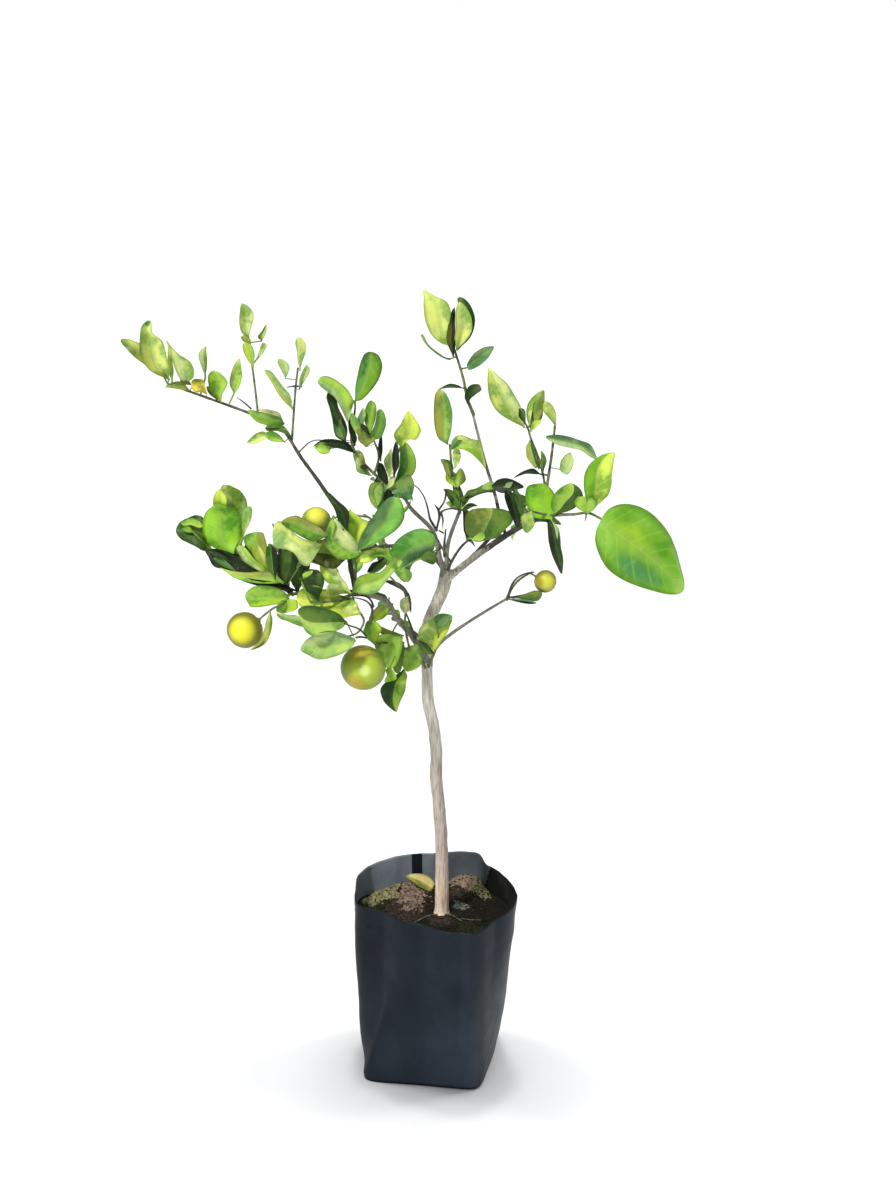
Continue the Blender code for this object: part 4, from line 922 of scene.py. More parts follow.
                (.00, 0.61, 0, 0, -6, "deep", "flat", (3.5, 4, 13.5, -7, 18.5, 7, 26, -9.5, 32.5, 8.5,
                 36, -7, 39.5, 6, 40.5)),
                (.05, 11.79, -6, 16, -2, "moss/dark", "cup", (1.5, 1, 18.5, -6.5, 15, 2.5, 32, -6,
                 30.5, 5.5, 41, -3.5, 40.5, 2.5, 44.5)),
                (.09, 11.8, 0, 0, -8, "dark", "flat", (1.5, 0.5, 16, -6, 13.5, 1, 32, -5, 31.5, 2.5,
                 46.5)),
                (.33, 10.98, 0, 0, -9, "dark", "flat", (-1, -6, 20, -11, 13.5, 3.5, 34.5, -7, 29, 2,
                 41.5)),
                (.10, 1.07, 0, 0, 6, "pale", "flat", (25.5, 1.5, 27.5, -1.5, 28.5, 2, 31, -2.5, 33,
                 2.5, 34)),
                (.00, 9.66, 3, 17, 0, "dark", "strap", (-5, 5, 10.5, -1, 14.5, 5.5, 31, -4, 33, 2, 44,
                 -3, 45, 0.5, 52)),
            ),
            "near": (
                (.14, 6.94, 4, 6, 4, "lime/leafy", "cup", (0.5, -3, -2.5, -11.5, 5, 2, 3, -16.5, 13, 4,
                 11, -11.5, 18, 1.5, 20)),
                (.70, 6.88, 4, 8, 2, "olive/straw", "strap", (0.5, -1, 5.5, -8, 8.5, -2.5, 19, -13,
                 20.5, -5.5, 32.5, -12, 33.5, -5, 46)),
            ),
            "far": (
                (.20, 0.05, -4, 7, 30, "grassy/dark", "strap", (0.5, 5.5, 9.5, -1, 9.5, 7.5, 22.5, -4,
                 22.5, 8, 31.5, -4.5, 30.5, 6, 36)),
            ),
        },
        "fruit": {"near": (1.0, (-189, -92, 532), 18.8)},
    },
    "foliage_fork": {
        "stem": ((-3.5, 6, 462), (-18, -8, 485), (-31, -20, 495), (-43, -32, 503), (-55, -44, 505)),
        "shoots": {"bud": ((-22, -12, 488), (-27, -24, 520), (-26, -34, 556), (-42, -52, 580))},
        "leaves": {
            "stem": (
                (1.0, 0.53, -6, -14, 2, "olive/lime", "rumple", (18, -13.5, 24, -16, 23.5, -7, 34, -13,
                 28, -0.5, 41, -7.5, 33, 2.5, 40)),
                (1.0, 11.6, 6, 13, 5, "green/lime", "rumple", (1.5, -4, 11, -11, 7, 1, 20.5, -12.5, 15,
                 5, 27.5, -9, 20.5, 6.5, 27.5)),
                (.63, 10.55, 0, 0, 2, "olive", "flat", (5, 11.5, 9.5, 5.5, 12.5, 8.5, 18, -1.5, 21,
                 4.5, 24, -4.5, 28.5, 1.5, 30)),
                (.66, 6.74, -9, -5, 9, "leafy", "cup", (-13, 0, -10, -3, -9, 21.5, -3.5, -5, -0.5, 26,
                 10.5, -6.5, 11.5, 18.5, 21.5, -6, 21, 8, 29)),
                (.58, 6.35, 0, 0, 5, "moss", "flat", (-6.5, -1, 0.5, -3.5, 0, 5, 15, -4, 15, 6, 25.5,
                 -3.5, 25, 5, 29.5)),
                (.37, 6.55, 4, 13, 10, "leafy", "dome", (-11, -2, -5, -5.5, -1.5, 11, 4, -10.5, 10,
                 11.5, 13, -10, 18, 8.5, 21.5)),
                (.25, 6.73, 8, 5, 5, "leafy/deep", "cup", (17, 9.5, 21, 3.5, 27.5, 16.5, 28, 1.5, 38,
                 23, 37, -1.5, 46.5, 24, 48.5, -0.5, 56, 17.5, 57, 0, 61, 9, 63.5)),
                (.63, 6.72, 6, -4, 28, "lime", "cup", (22.5, 0, 25.5, -5, 27, 4, 30.5, -10, 32, 0.5,
                 34, -9, 37, 1, 40)),
            ),
            "bud": (
                (.66, 6.13, -7, -13, 0, "husk", "cup", (0, -2, 2, -2.5, 2.5, 6, 9.5, -4, 9.5, 6.5,
                 14.5, -4.5, 15, 4, 19)),
            ),
        },
        "fruit": {"stem": (.95, (-70, -66, 485), 24.0)},
    },
    "foliage_fork_right": {
        "stem": ((-3.5, 6, 464), (3, -10, 483), (9, -20, 501)),
        "shoots": {},
        "leaves": {
            "stem": (
                (.56, 0.83, 4, -14, 4, "cream/lemon", "cup", (0, -2, 3.5, -15.5, 10.5, 1.5, 13, -22,
                 23, 4, 25, -23.5, 32.5, 5.5, 37.5, -17.5, 40, 4.5, 46.5, -11, 45.5, 3.5, 48.5)),
                (1.0, 0.87, 4, 0, 7, "jade", "flat", (14.5, -8.5, 21, -16, 18.5, -1.5, 29.5, -12, 27,
                 0, 33)),
                (.81, 6.73, 0, 0, 6, "deep/moss", "flat", (-0.5, 20.5, -0.5, 12.5, 7, 16.5, 2.5, 5.5,
                 10, 8.5, 7.5)),
            ),
        },
    },
    "foliage_top": {
        "stem": ((46, 23, 741), (40, 26, 756), (35, 30, 779), (26, 35, 808)),
        "shoots": {},
        "leaves": {
            "stem": (
                (1.0, 11.08, -4, -14, 0, "cream", "cup", (6, -3, 13, -9, 14, 1, 25, -13, 25.5, 8.5, 40,
                 -12, 37.5, 17.5, 53.5, -7, 48, 18, 64, -2.5, 58.5, 9, 71)),
                (.99, 0.19, 6, 13, 6, "cream", "cup", (0, 2, 11, -2.5, 9.5, 8.5, 24.5, -3.5, 22, 14.5,
                 37.5, -4.5, 35.5, 13, 46.5, -3.5, 46.5, 6, 50.5)),
                (.98, 0.16, -2, 4, 2, "moss/deep", "cup", (1, 2.5, 17, 1, 16, 15, 38, 1, 34, 18, 50,
                 -1.5, 47, 13, 54, -2.5, 54.5, 6, 56.5)),
                (.90, 11.91, -9, -5, 8, "umber/dark", "strap", (-2, -3.5, 9, -8, 8, -0.5, 17.5, -9.5,
                 20, 0, 31, -7, 34, 0.5, 42.5, -4.5, 43.5, 1, 50)),
                (.89, 10.04, 3, -14, 3, "grey/olive", "strap", (3, -4, 5, -7, 10.5, -6.5, 16.5, -8.5,
                 20.5, -6, 30, -7, 33, -4, 39, -4, 42.5, 1.5, 45)),
                (.70, 1.88, 4, 13, 3, "grey/jade", "cup", (6.5, 3, 8.5, -0.5, 7, 6, 20, -6, 17.5, 7.5,
                 30.5, -6.5, 29.5, 6.5, 37.5, -4, 38, 3, 42.5)),
                (.17, 0.95, 8, 5, 3, "deep", "cup", (-1.5, -1, 3.5, -7, 7, -0.5, 12, -9.5, 13.5, 2,
                 19.5, -7.5, 20, 4.5, 23)),
                (.41, 8.82, 1, -4, 2, "deep", "strap", (2, -0.5, 7.5, 0, 7, 3, 16, 1, 15.5, 5.5, 23.5,
                 1, 23, 3.5, 30)),
            ),
        },
    },
    "foliage_centre": {
        "stem": ((31.5, 12, 637), (26, 10, 661), (23, 6, 683), (21, 2, 711)),
        "shoots": {"side": ((29, 11, 648), (44, -8, 660), (59, -16, 665))},
        "leaves": {
            "stem": (
                (1.0, 11.65, -3, -14, 2, "olive/spring", "cup", (0, -2, 7.5, -9.5, 4.5, 0.5, 19.5, -11,
                 16.5, 6.5, 36, -9, 33, 11, 50.5, -5.5, 45.5, 10, 56, -3.5, 54.5, 6, 58.5)),
                (.93, 3.95, 4, 13, 5, "cream/lemon", "rumple", (1, 0.5, -1.5, -9.5, 4.5, -2, 3, -19,
                 11, -6.5, 14, -21, 20, -7.5, 23.5, -23, 29.5, -5, 34, -11, 37.5, -2, 43)),
                (.94, 1.81, 4, 0, 8, "jade", "flat", (0, 1, 6, -5, 6, 2.5, 14, -6, 13, 1, 19)),
                (.65, 0.49, -9, -5, 6, "cream", "cup", (1, 3.5, 8.5, -0.5, 9.5, 7, 16.5, -2.5, 17.5, 6,
                 22)),
                (.52, 10.89, 3, -14, 4, "olive/moss", "rumple", (0.5, -1, 9, -3, 7, 6, 18, -0.5, 15, 9,
                 23)),
                (.37, 11.29, -4, 13, 7, "lime/spring", "dome", (-1, 1.5, 8, -4.5, 3.5, 7, 15.5, -2.5,
                 12.5, 8, 19)),
                (.36, 0.6, 8, 5, 5, "leafy/olive", "dome", (1.5, 3.5, 7, -2, 9.5, 9.5, 16, -2.5, 17.5,
                 6, 22.5)),
                (.01, 10.82, 1, -4, 4, "deep/moss", "cup", (0, 0, 16, -2, 15, 8, 24.5, -1, 24, 6.5,
                 29.5)),
                (.01, 11.93, -7, -13, 6, "grassy/deep", "cup", (0, 1, 10, -4, 9.5, 6, 20.5, -4.5, 20.5,
                 5, 28)),
                (.01, 10.04, 5, 14, 5, "spring", "cup", (0, 0, 8.5, -3, 11.5, 5, 17.5)),
                (.01, 2.43, 10, -3, 8, "deep", "strap", (1, 0.5, 9, -4, 8.5, 1.5, 15.5, -4.5, 15.5, 0,
                 20.5)),
            ),
            "side": (
                (.00, 1.75, -2, 5, 6, "leafy", "strap", (-3, 9, 3.5, 3, 4.5, 8, 12, -1.5, 13.5, 5,
                 18.5)),
                (.16, 2.33, 2, -12, 3, "grassy/deep", "strap", (0.5, 3.5, 9.5, -4.5, 6.5, 5, 19.5, -4,
                 18.5, 3.5, 30, -5, 29.5, 4.5, 38.5, -1, 36.5, 6.5, 42)),
                (.91, 2.45, 0, 0, 7, "spring", "flat", (-0.5, -2.5, 5, -6.5, 4, 1, 12.5, -5.5, 11.5, 2,
                 16.5)),
                (1.0, 2.84, 4, 6, 5, "dark", "cup", (6.5, -3.5, 12.5, -9.5, 12.5, 3, 22, -11, 22, 5,
                 32, -7, 30.5, 2.5, 40)),
                (1.0, 2.39, 4, 0, 8, "grey", "flat", (19.5, 3.5, 22, 0, 24.5, 6, 29.5)),
            ),
        },
    },
    "foliage_inner": {
        "stem": ((18, 13, 571), (23, -8, 587), (32, -26, 605), (40, -36, 615)),
        "shoots": {"hanging": ((22, -4, 585), (12, -20, 605), (5, -36, 621), (-2, -50, 628))},
        "leaves": {
            "stem": (
                (1.0, 1.03, 2, -5, 4, "olive/moss", "cup", (5, 10.5, 6, -3.5, 19.5, 24.5, 14.5, -9.5,
                 32, 28, 24, -14, 44.5, 30.5, 32, -12, 51.5, 22, 40)),
                (1.0, 2.49, 2, 0, 9, "leafy", "flat", (0.5, -1.5, 6.5, -7.5, 6, 2, 14.5, -5.5, 12.5, 5,
                 19.5)),
                (1.0, 11.69, -4, 13, 2, "dark", "cup", (-1.5, 2, 9.5, -3.5, 8, 2.5, 22, -3, 20.5, 4.5,
                 30, -1.5, 30, 5.5, 33)),
            ),
            "hanging": (
                (.64, 7.18, -6, -14, 4, "jade/verdant", "dome", (1, 0.5, 14.5, -6.5, -0.5, 7.5, 23, -6,
                 2.5, 16, 30.5, -4, 11.5, 23.5, 38, 0, 24, 29, 43.5, 1.5, 36.5, 31, 50, -0.5, 50, 27,
                 54, -4.5, 59, 13, 60.5)),
                (.38, 8.05, 6, 13, 7, "moss", "cup", (5.5, -0.5, 15.5, -13.5, 9, -2, 21, -8.5, 14.5,
                 3.5, 25.5)),
                (.39, 7.45, 0, 0, 8, "spring/leafy", "flat", (44, 14, 41.5, 4.5, 53, 14, 46, 0, 55,
                 7.5, 52.5)),
            ),
        },
    },
    "foliage_right": {
        "stem": ((119, -39, 641), (135, -54, 645), (148, -68, 648), (161, -84, 652), (173, -104, 649)),
        "shoots": {"inward": ((124, -43, 643), (110, -58, 648), (103, -68, 652))},
        "leaves": {
            "stem": (
                (1.0, 4.37, -3, 0, 0, "large", "large", (0, 0, -3, -8, 0.5, 9.5, 0, -19, 6.5, 21, 8.5,
                 -28, 19, 30, 22, -34, 34.5, 35, 38, -35.5, 52.5, 33.5, 58, -32.5, 70.5, 28, 76.5, -25,
                 87, 21, 94, -14.5, 101, 14, 106, -7, 109, 7.5, 112.5)),
                (.72, 0.72, 2, 13, 3, "bright/lemon", "cup", (2, 0, 14.5, -11, 19.5, 7.5, 25.5, -18.5,
                 31, 7.5, 38.5, -23.5, 45.5, 3, 50, -21.5, 57.5, 0.5, 60.5, -12.5, 65, 0, 66.5)),
                (.73, 1.04, 2, 0, 6, "cream", "flat", (15, -2.5, 25, -6.5, 20.5, 5.5, 33.5, -6, 29, 6,
                 41.5)),
                (.73, 10.75, 2, -5, 7, "leafy", "rumple", (0, -1.5, 13, -7, 1, 9, 19.5, -4.5, 8, 14.5,
                 21.5, -0.5, 14.5, 8.5, 19)),
                (.17, 0.87, 3, -14, 3, "leafy/deep", "cup", (0.5, -0.5, 7.5, -6.5, 11, 11.5, 17.5, -9,
                 19.5, 17.5, 27.5, -6.5, 30.5, 20.5, 34, -3.5, 37.5, 12.5, 37.5)),
                (.05, 5.51, -4, 14, 3, "deep/dark", "cup", (3.5, 1, 14, -8, 12, 2, 30, -7.5, 24, 3.5,
                 45.5, -7, 41, 3.5, 56, -4, 54.5, 2, 65)),
                (.12, 5.48, -4, 0, 7, "dusty", "flat", (4.5, 2, 15.5, -3, 14, 1, 27.5, -2, 24, 1.5, 35)),
            ),
            "inward": (
                (.00, 11.05, -4, 13, 6, "bright", "dome", (-5.5, 0.5, 4.5, -14.5, -2, 10, 18.5, -14,
                 6.5, 16.5, 29.5, -10.5, 18.5, 18, 36, -5.5, 29.5, 13.5, 36)),
                (1.0, 10.85, 8, 5, 3, "deep/moss", "cup", (-4, -13.5, 13.5, -13.5, 7.5, -5.5, 24, -10,
                 18.5, -1, 28.5)),
                (.93, 6.43, 1, -4, 10, "straw", "cup", (0.5, 0.5, 6.5, -3, 8, 10, 12, -5.5, 13.5, 8,
                 19.5, -3.5, 20, 5, 24)),
                (1.0, 7.14, -7, -13, 2, "dark", "cup", (-4, 34, -6.5, 22.5, 1.5, 31.5, 3, 11, 10, 21,
                 12.5, 3, 17.5, 9.5, 23.5)),
            ),
        },
    },
    "foliage_right_upper": {
        "stem": ((120, -39, 641), (122, -24, 663), (128, -10, 701), (132, -2, 735)),
        "shoots": {"side": ((122, -22, 667), (115, -12, 696), (106, -4, 719), (103, 0, 729))},
        "leaves": {
            "stem": (
                (.96, 11.23, 8, 5, 4, "cream/straw", "cup", (-0.5, 0, 12.5, -4.5, 11, 4.5, 21, -7,
                 20.5, 4.5, 27.5, -4, 26.5, 2.5, 28.5)),
                (.45, 8.82, -2, 5, 1, "dark", "strap", (8.5, 1.5, 12.5, 1, 15, 7.5, 23, 2.5, 23.5, 6.5,
                 31.5, 1, 31.5, 3.5, 37)),
                (.84, 3.92, 3, -3, 5, "grey/dusty", "cup", (-7.5, 4, -8, 3, -7, 5.5, 0.5, -2.5, 5, 6.5,
                 12, -6.5, 16.5, 4, 25.5, -9, 31.5, 0, 36.5, -10.5, 41.5, 1.5, 45.5, -5.5, 47.5, 1,
                 51.5)),
                (.53, 1.76, 4, -12, 3, "pale/dusty", "cup", (7, 8, 9.5, 6, 7.5, 12.5, 13.5, 3.5, 11.5,
                 19, 20.5, 0.5, 20.5, 15, 25, 0.5, 25.5, 9, 26.5)),
            ),
            "side": (
                (1.0, 10.88, -4, -14, 2, "straw/pale", "cup", (1.5, -3, 11, -7.5, 10, 2.5, 22.5, -13,
                 23.5, 7.5, 34.5, -16.5, 36, 8.5, 48.5, -15, 50, 9, 62.5, -8.5, 60.5, 5.5, 71, -3, 70,
                 2.5, 75)),
                (1.0, 11.21, 6, 13, 5, "umber/moss", "cup", (3.5, -1, 15.5, -6, 10.5, 0, 22, -3, 19, 3,
                 22.5)),
                (.95, 0.66, -1, 4, 3, "leafy/olive", "cup", (1.5, 2, 12, -7, 7.5, 5, 23, -11, 20.5,
                 6.5, 32, -10, 34, 4.5, 39, -6, 39.5, 3, 45)),
                (1.0, 0.74, -9, -5, 7, "umber/moss", "cup", (4.5, 5.5, 12, -1, 13, 10.5, 21, -3, 24, 7,
                 29.5)),
                (1.0, 0.39, 0, 0, 9, "cream", "flat", (2.5, 1, 12, -4, 12, 1, 20.5, -5, 20.5, 0.5,
                 26.5)),
                (.92, 1.45, 0, 0, 9, "lemon", "flat", (0.5, 1, 7.5, -4, 8.5, 2, 13, -4, 14.5, 2, 17)),
                (.80, 5.7, 1, -4, 3, "dusty/straw", "cup", (0.5, 2, 8, -0.5, 6.5, 7.5, 18, -2, 17, 8.5,
                 25.5, -2.5, 24, 5, 31)),
                (.78, 5.54, -7, -13, 6, "moss", "strap", (0.5, 1.5, 6, 0.5, 6, 4, 17, -1, 17, 4, 25.5,
                 -2.5, 25, 3, 32.5)),
                (.28, 11.81, 5, 14, 3, "straw/moss", "cup", (0, 0.5, 9, -2.5, 10, 4, 18.5, -1.5, 17.5,
                 3, 22.5)),
            ),
        },
    },
    "foliage_low_right": {
        "stem": ((84.5, 47.5, 533), (90, 52, 544), (98, 54, 553), (110, 54, 561)),
        "shoots": {},
        "leaves": {
            "stem": (
                (.09, 2.86, -6, -14, 2, "olive/jade", "cup", (5, 3, 13.5, 2, 14, 6, 21.5, 0, 22.5, 10,
                 30.5, -1.5, 32.5, 10, 38.5)),
                (.00, 3.22, 6, 13, 3, "grey/dark", "strap", (0, 0, 11, -2.5, 11.5, 1, 24.5, -3, 25,
                 1.5, 33.5)),
            ),
        },
        "fruit": {"stem": (1.0, (127.5, 54, 551.5), 12.8)},
    },
    "foliage_back": {
        "stem": ((-52.5, 103.5, 582), (-58, 122, 592), (-68, 142, 604), (-80, 166, 608)),
        "spread": (3, 38, 4, 46),
    },
    "foliage_back_left": {
        "stem": ((-146, 114, 562), (-162, 122, 566), (-180, 128, 574), (-200, 132, 572)),
        "spread": (3, 36, 4, 46),
    },
    "foliage_back_right": {
        "stem": ((81.5, 83.5, 614), (92, 94, 620), (104, 106, 628), (116, 118, 632)),
        "spread": (2, 28, 3, 38),
    },
    "foliage_back_low": {
        "stem": ((-26.5, 88.5, 489), (-34, 104, 494), (-44, 120, 498), (-56, 136, 494)),
        "spread": (2, 30, 3, 28),
        "turns": (19, 16, 29, None, 1, 12, None, 3, 5, 3, None),
    },
}
STEM_RADII = (1.9, 1.2)
SHOOT_RADII = (1.3, 1.0)
GOLDEN_SHARE = 0.618034
FIRST_SEED = 20
TWIG_SIDES = 8
TWIG_LOOK_OF = {"foliage_left": 1, "foliage_low_left": 1, "foliage_back_left": 1, "foliage_inner": 2}


def place_on(route, share):
    """The place and direction at a share of the way along a route."""
    spans = [(b[0] - a[0]).length for a, b in zip(route, route[1:])]
    left = sum(spans) * share
    for k, span in enumerate(spans):
        if left <= span or k == len(spans) - 1:
            t = min(1.0, left / span)
            return route[k][0].lerp(route[k + 1][0], t), (route[k + 1][0] - route[k][0]).normalized()
        left -= span


def spread_shoots(stem, count, reach):
    """Side shoots from the spiral rule."""
    shoots = []
    for k in range(count):
        start, along = place_on(stem, 0.35 + 0.5 * k / max(1, count - 1))
        across = along.cross(Vector((0.0, 0.0, 1.0))).normalized()
        out = Matrix.Rotation(math.tau * GOLDEN_SHARE * (k + 0.4), 3, along) @ across
        heading = (along * 0.7 + out).normalized()
        middle = start + heading * reach * 0.5 + Vector((0.0, 0.0, 2.0))
        shoots.append((start, middle, start + heading * reach))
    return shoots


twigs = Sheaf()
mass_routes = {}
for mass_name, mass in MASSES.items():
    stem = smooth_route(mass["stem"], even_radii(STEM_RADII, len(mass["stem"])), 6)
    routes = {"stem": stem}
    shoots = mass.get("shoots", {})
    if "spread" in mass:
        shoots = {str(k): points for k, points in enumerate(spread_shoots(stem, *mass["spread"][:2]))}
    for key, points in shoots.items():
        routes[key] = smooth_route(points, even_radii(SHOOT_RADII, len(points)), 6)
    mass_routes[mass_name] = routes
    for key, route in routes.items():
        points = [point for point, _ in route]
        if key == "stem":
            points[0] = points[0] + (points[0] - points[1]).normalized() * 2.0
        radii = [radius * (1.0 + 0.10 * math.sin(k * 2.3)) for k, (_, radius) in enumerate(route)]
        look_index = TWIG_LOOK_OF.get(mass_name, 0) if key == "stem" else 0
        twigs.add(*rod(points, radii, TWIG_SIDES), look_index)

# Loose sprigs, stubs and thorns, and a flower bud: look, then places with their radius
SPRIGS = (
    (1, ((-143.2, 46, 697.3, 0.9), (-136.5, 34, 704.3, 0.8), (-128.5, 18, 711.6, 0.7),
         (-119.4, 0, 715.9, 0.7), (-109.7, -16, 716.8, 0.7), (-99.4, -28, 716.2, 0.6))),
    (2, ((-16.1, -22, 670.8, 0.6), (-12.5, -20, 667.7, 0.7), (-8.9, -17, 662.6, 0.7),
         (-5.8, -14, 656.3, 0.8), (-3.4, -12, 648.4, 1.0), (-1.7, -10, 640.5, 1.1),
         (-0.2, -7, 632.6, 1.3), (3.0, -4, 626.2, 1.6), (7.2, -2, 618.7, 1.6))),
    (2, ((4.4, -10, 648.9, 0.3), (7.9, -8, 644.1, 1.3), (9.6, -7, 639.0, 1.6), (9.7, -5, 633.3, 1.4),
         (8.1, -4, 626.6, 1.1), (6.5, -2, 618.7, 1.3))),
    (2, ((9.4, -8, 643.0, 1.3), (12.1, -7, 646.6, 1.0), (14.8, -6, 650.7, 1.0), (16.3, -5, 655.9, 1.0),
         (17.2, -4, 663.2, 1.3))),
    (2, ((10.8, -8, 639.2, 1.4), (14.2, -6, 641.5, 1.1), (19.0, -3, 642.7, 0.9), (24.3, -0, 642.6, 0.9),
         (31.3, 2, 641.5, 1.2))),
    (2, ((11.4, -9, 640.4, 1.3), (13.5, -9, 632.9, 1.1), (13.4, -9, 626.4, 0.6), (13.4, -9, 621.0, 0.2))),
    (2, ((9.4, -2, 619.2, 0.9), (14.5, 0, 615.8, 0.9))),
    (2, ((16.5, 0, 620.0, 0.9), (16.1, 2, 613.7, 1.0), (15.3, 3, 606.9, 1.3), (14.9, 4, 597.8, 1.7),
         (15.2, 6, 588.8, 1.4))),
    (2, ((34.9, -6, 642.6, 1.1), (37.3, -9, 637.2, 1.6), (38.1, -11, 632.2, 1.8),
         (38.4, -14, 625.7, 1.3))),
    (2, ((35.3, -34, 626.1, 0.3), (37.9, -35, 622.0, 1.4), (40.2, -36, 616.3, 2.1),
         (43.6, -37, 613.9, 1.4), (47.6, -38, 608.2, 0.3))),
    (2, ((79.4, -18, 618.9, 1.9), (78.2, -19, 626.1, 1.6), (79.8, -20, 632.7, 1.3))),
    (2, ((-81.8, -78, 565.3, 0.7), (-75.7, -76, 564.4, 0.8), (-68.7, -73, 563.9, 1.0),
         (-63.7, -71, 561.6, 1.1), (-60.2, -68, 556.6, 1.2), (-58.3, -66, 550.2, 1.3))),
    (2, ((-79.6, -80, 563.5, 0.5), (-71.3, -81, 562.4, 0.8), (-64.1, -83, 559.9, 1.0),
         (-60.0, -84, 555.5, 1.2), (-58.5, -85, 550.5, 1.3), (-60.2, -87, 545.5, 1.0),
         (-62.5, -88, 537.4, 0.9))),
    (2, ((-87.1, -96, 540.1, 0.7), (-80.1, -95, 537.0, 0.9), (-74.0, -94, 534.7, 1.0),
         (-69.5, -93, 531.3, 1.0), (-65.0, -92, 525.7, 1.0))),
    (2, ((-75.4, -98, 525.5, 1.1), (-71.0, -96, 525.9, 1.3), (-63.9, -94, 524.1, 0.8))),
    (3, ((-26.1, -26, 550.7, 0.7), (-26.8, -26, 547.8, 2.1), (-27.2, -25, 543.9, 3.1),
         (-27.2, -25, 539.5, 2.9), (-26.7, -24, 535.5, 1.7), (-25.8, -24, 532.7, 0.7))),
    (2, ((-23.6, -24, 555.7, 1.1), (-22.3, -24, 550.1, 1.5), (-21.5, -23, 544.5, 1.7),
         (-21.1, -22, 537.8, 1.2), (-20.7, -22, 533.3, 0.3))),
    (2, ((-49.4, -38, 572.5, 0.8), (-41.1, -36, 569.8, 2.3), (-33.8, -33, 566.1, 2.9),
         (-27.6, -31, 561.0, 2.3), (-24.3, -28, 555.0, 1.4), (-24.6, -26, 548.5, 1.1))),
    (2, ((-26.1, -24, 534.3, 0.9), (-23.3, -21, 526.5, 1.0), (-20.7, -18, 518.0, 1.2),
         (-18.7, -15, 510.6, 1.5), (-16.1, -12, 502.1, 1.8))),
    (2, ((-155.1, 50, 767.0, 0.5), (-147.5, 50, 768.2, 1.0), (-138.8, 50, 767.9, 0.9))),
    (2, ((-212.2, 66, 755.1, 0.3), (-204.2, 66, 749.1, 0.9), (-196.2, 66, 742.0, 1.0))),
    (2, ((158.4, -88, 653.2, 0.9), (158.3, -88, 648.6, 0.7), (157.2, -88, 644.0, 0.3))),
    (2, ((116.0, -20, 690.0, 0.4), (118.7, -19, 681.4, 0.9), (120.1, -18, 672.8, 1.2))),
    (2, ((85.2, 46, 534.5, 1.1), (89.0, 47, 547.1, 1.1), (92.9, 48, 553.7, 1.1), (99.0, 50, 558.5, 1.1),
         (106.8, 51, 561.4, 1.0), (114.7, 52, 562.4, 1.0))),
    (2, ((85.2, 46, 534.5, 1.2), (95.8, 47, 535.9, 1.1), (107.0, 49, 538.0, 1.0),
         (115.9, 50, 541.4, 1.1))),
)
for look_index, places in SPRIGS:
    route = smooth_route([place[:3] for place in places], [place[3] for place in places], 3)
    twigs.add(*rod([point for point, _ in route], [radius for _, radius in route], 8), look_index)

# Young citrus wood: smooth, green with a grey cast, browner on the older stems and
# near black on the shaded sprigs, with pale flecks. The bud is pale green.
twig_looks = []
for look_name, young, old in (("young_twig_green", "#76804e", "#4f553a"), ("older_twig_brown", "#6c6456", "#433d33"),
                              ("shaded_twig_grey", "#55564b", "#2c2d27"), ("flower_bud_green", "#b3c274", "#a3b362")):
    look, shader = new_material(look_name, young, 0.6)
    shader.inputs["Specular IOR Level"].default_value = 0.25
    place = add_node(look, "TexCoord")
    fleck = add_node(look, "TexNoise", values={"Scale": 160.0, "Detail": 4.0},
                     links={"Vector": place.outputs["Object"]})
    fleck_band = add_node(look, "MapRange", values={"From Min": 0.4, "From Max": 0.62},
                          links={"Value": fleck.outputs["Fac"]})
    tone = add_node(look, "Mix", {"data_type": "RGBA"}, {"A": linear(young), "B": linear(old)},
                    {"Factor": fleck_band.outputs["Result"]})
    look.node_tree.links.new(tone.outputs["Result"], shader.inputs["Base Color"])
    twig_looks.append(look)
crown_twigs = twigs.make("crown_twigs", twig_looks)
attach(crown_twigs, "root")


# Leaves
# Citrus leaves: leathery blades on short petioles, folded a little along the pale
# midrib, arched, with wavy margins. Each leaf is a closed mesh of its own outline.

VIEW = Vector((0.0, -0.975, 0.222))
# Gaps where the crown is open from the front, as x, z and reach in the trunk's plane,
# and the place they are seen from
GAPS = (
    (-73, 649, 14), (-113, 651, 14), (-158, 643, 15), (-176, 619, 11), (-186, 631, 9),
    (-203, 559, 7), (-29, 540, 14), (-43, 557, 10), (-63, 524, 10), (-42, 512, 9), (125, 686, 10),
    (108, 673, 9), (75, 654, 6), (-41, 611, 6), (138, 672, 11))
EYE = Vector((19.0, -1592.0, 907.0))
BLADE = 0.26                   # half the blade's thickness
PETIOLE_HALF = 0.8
COLUMNS = (-1.0, -0.8, -0.5, -0.2, 0.0, 0.2, 0.5, 0.8, 1.0)
# Forms: how far the blade is cupped across, folded at its midrib and bent along its
# length, how wavy its margin is and how rumpled the whole blade
FORMS = {
    "flat": (0.1, 0.0, 0.1, 0.02, 0.1), "cup": (0.5, 0.25, 0.35, 0.10, 0.6),
    "dome": (-0.7, 0.0, -0.5, 0.05, 0.9), "strap": (0.4, 0.5, 0.4, 0.08, 0.3),
    "rumple": (0.5, 0.15, 0.3, 0.30, 2.2), "large": (0.16, 0.10, 0.20, 0.03, 1.4),
}
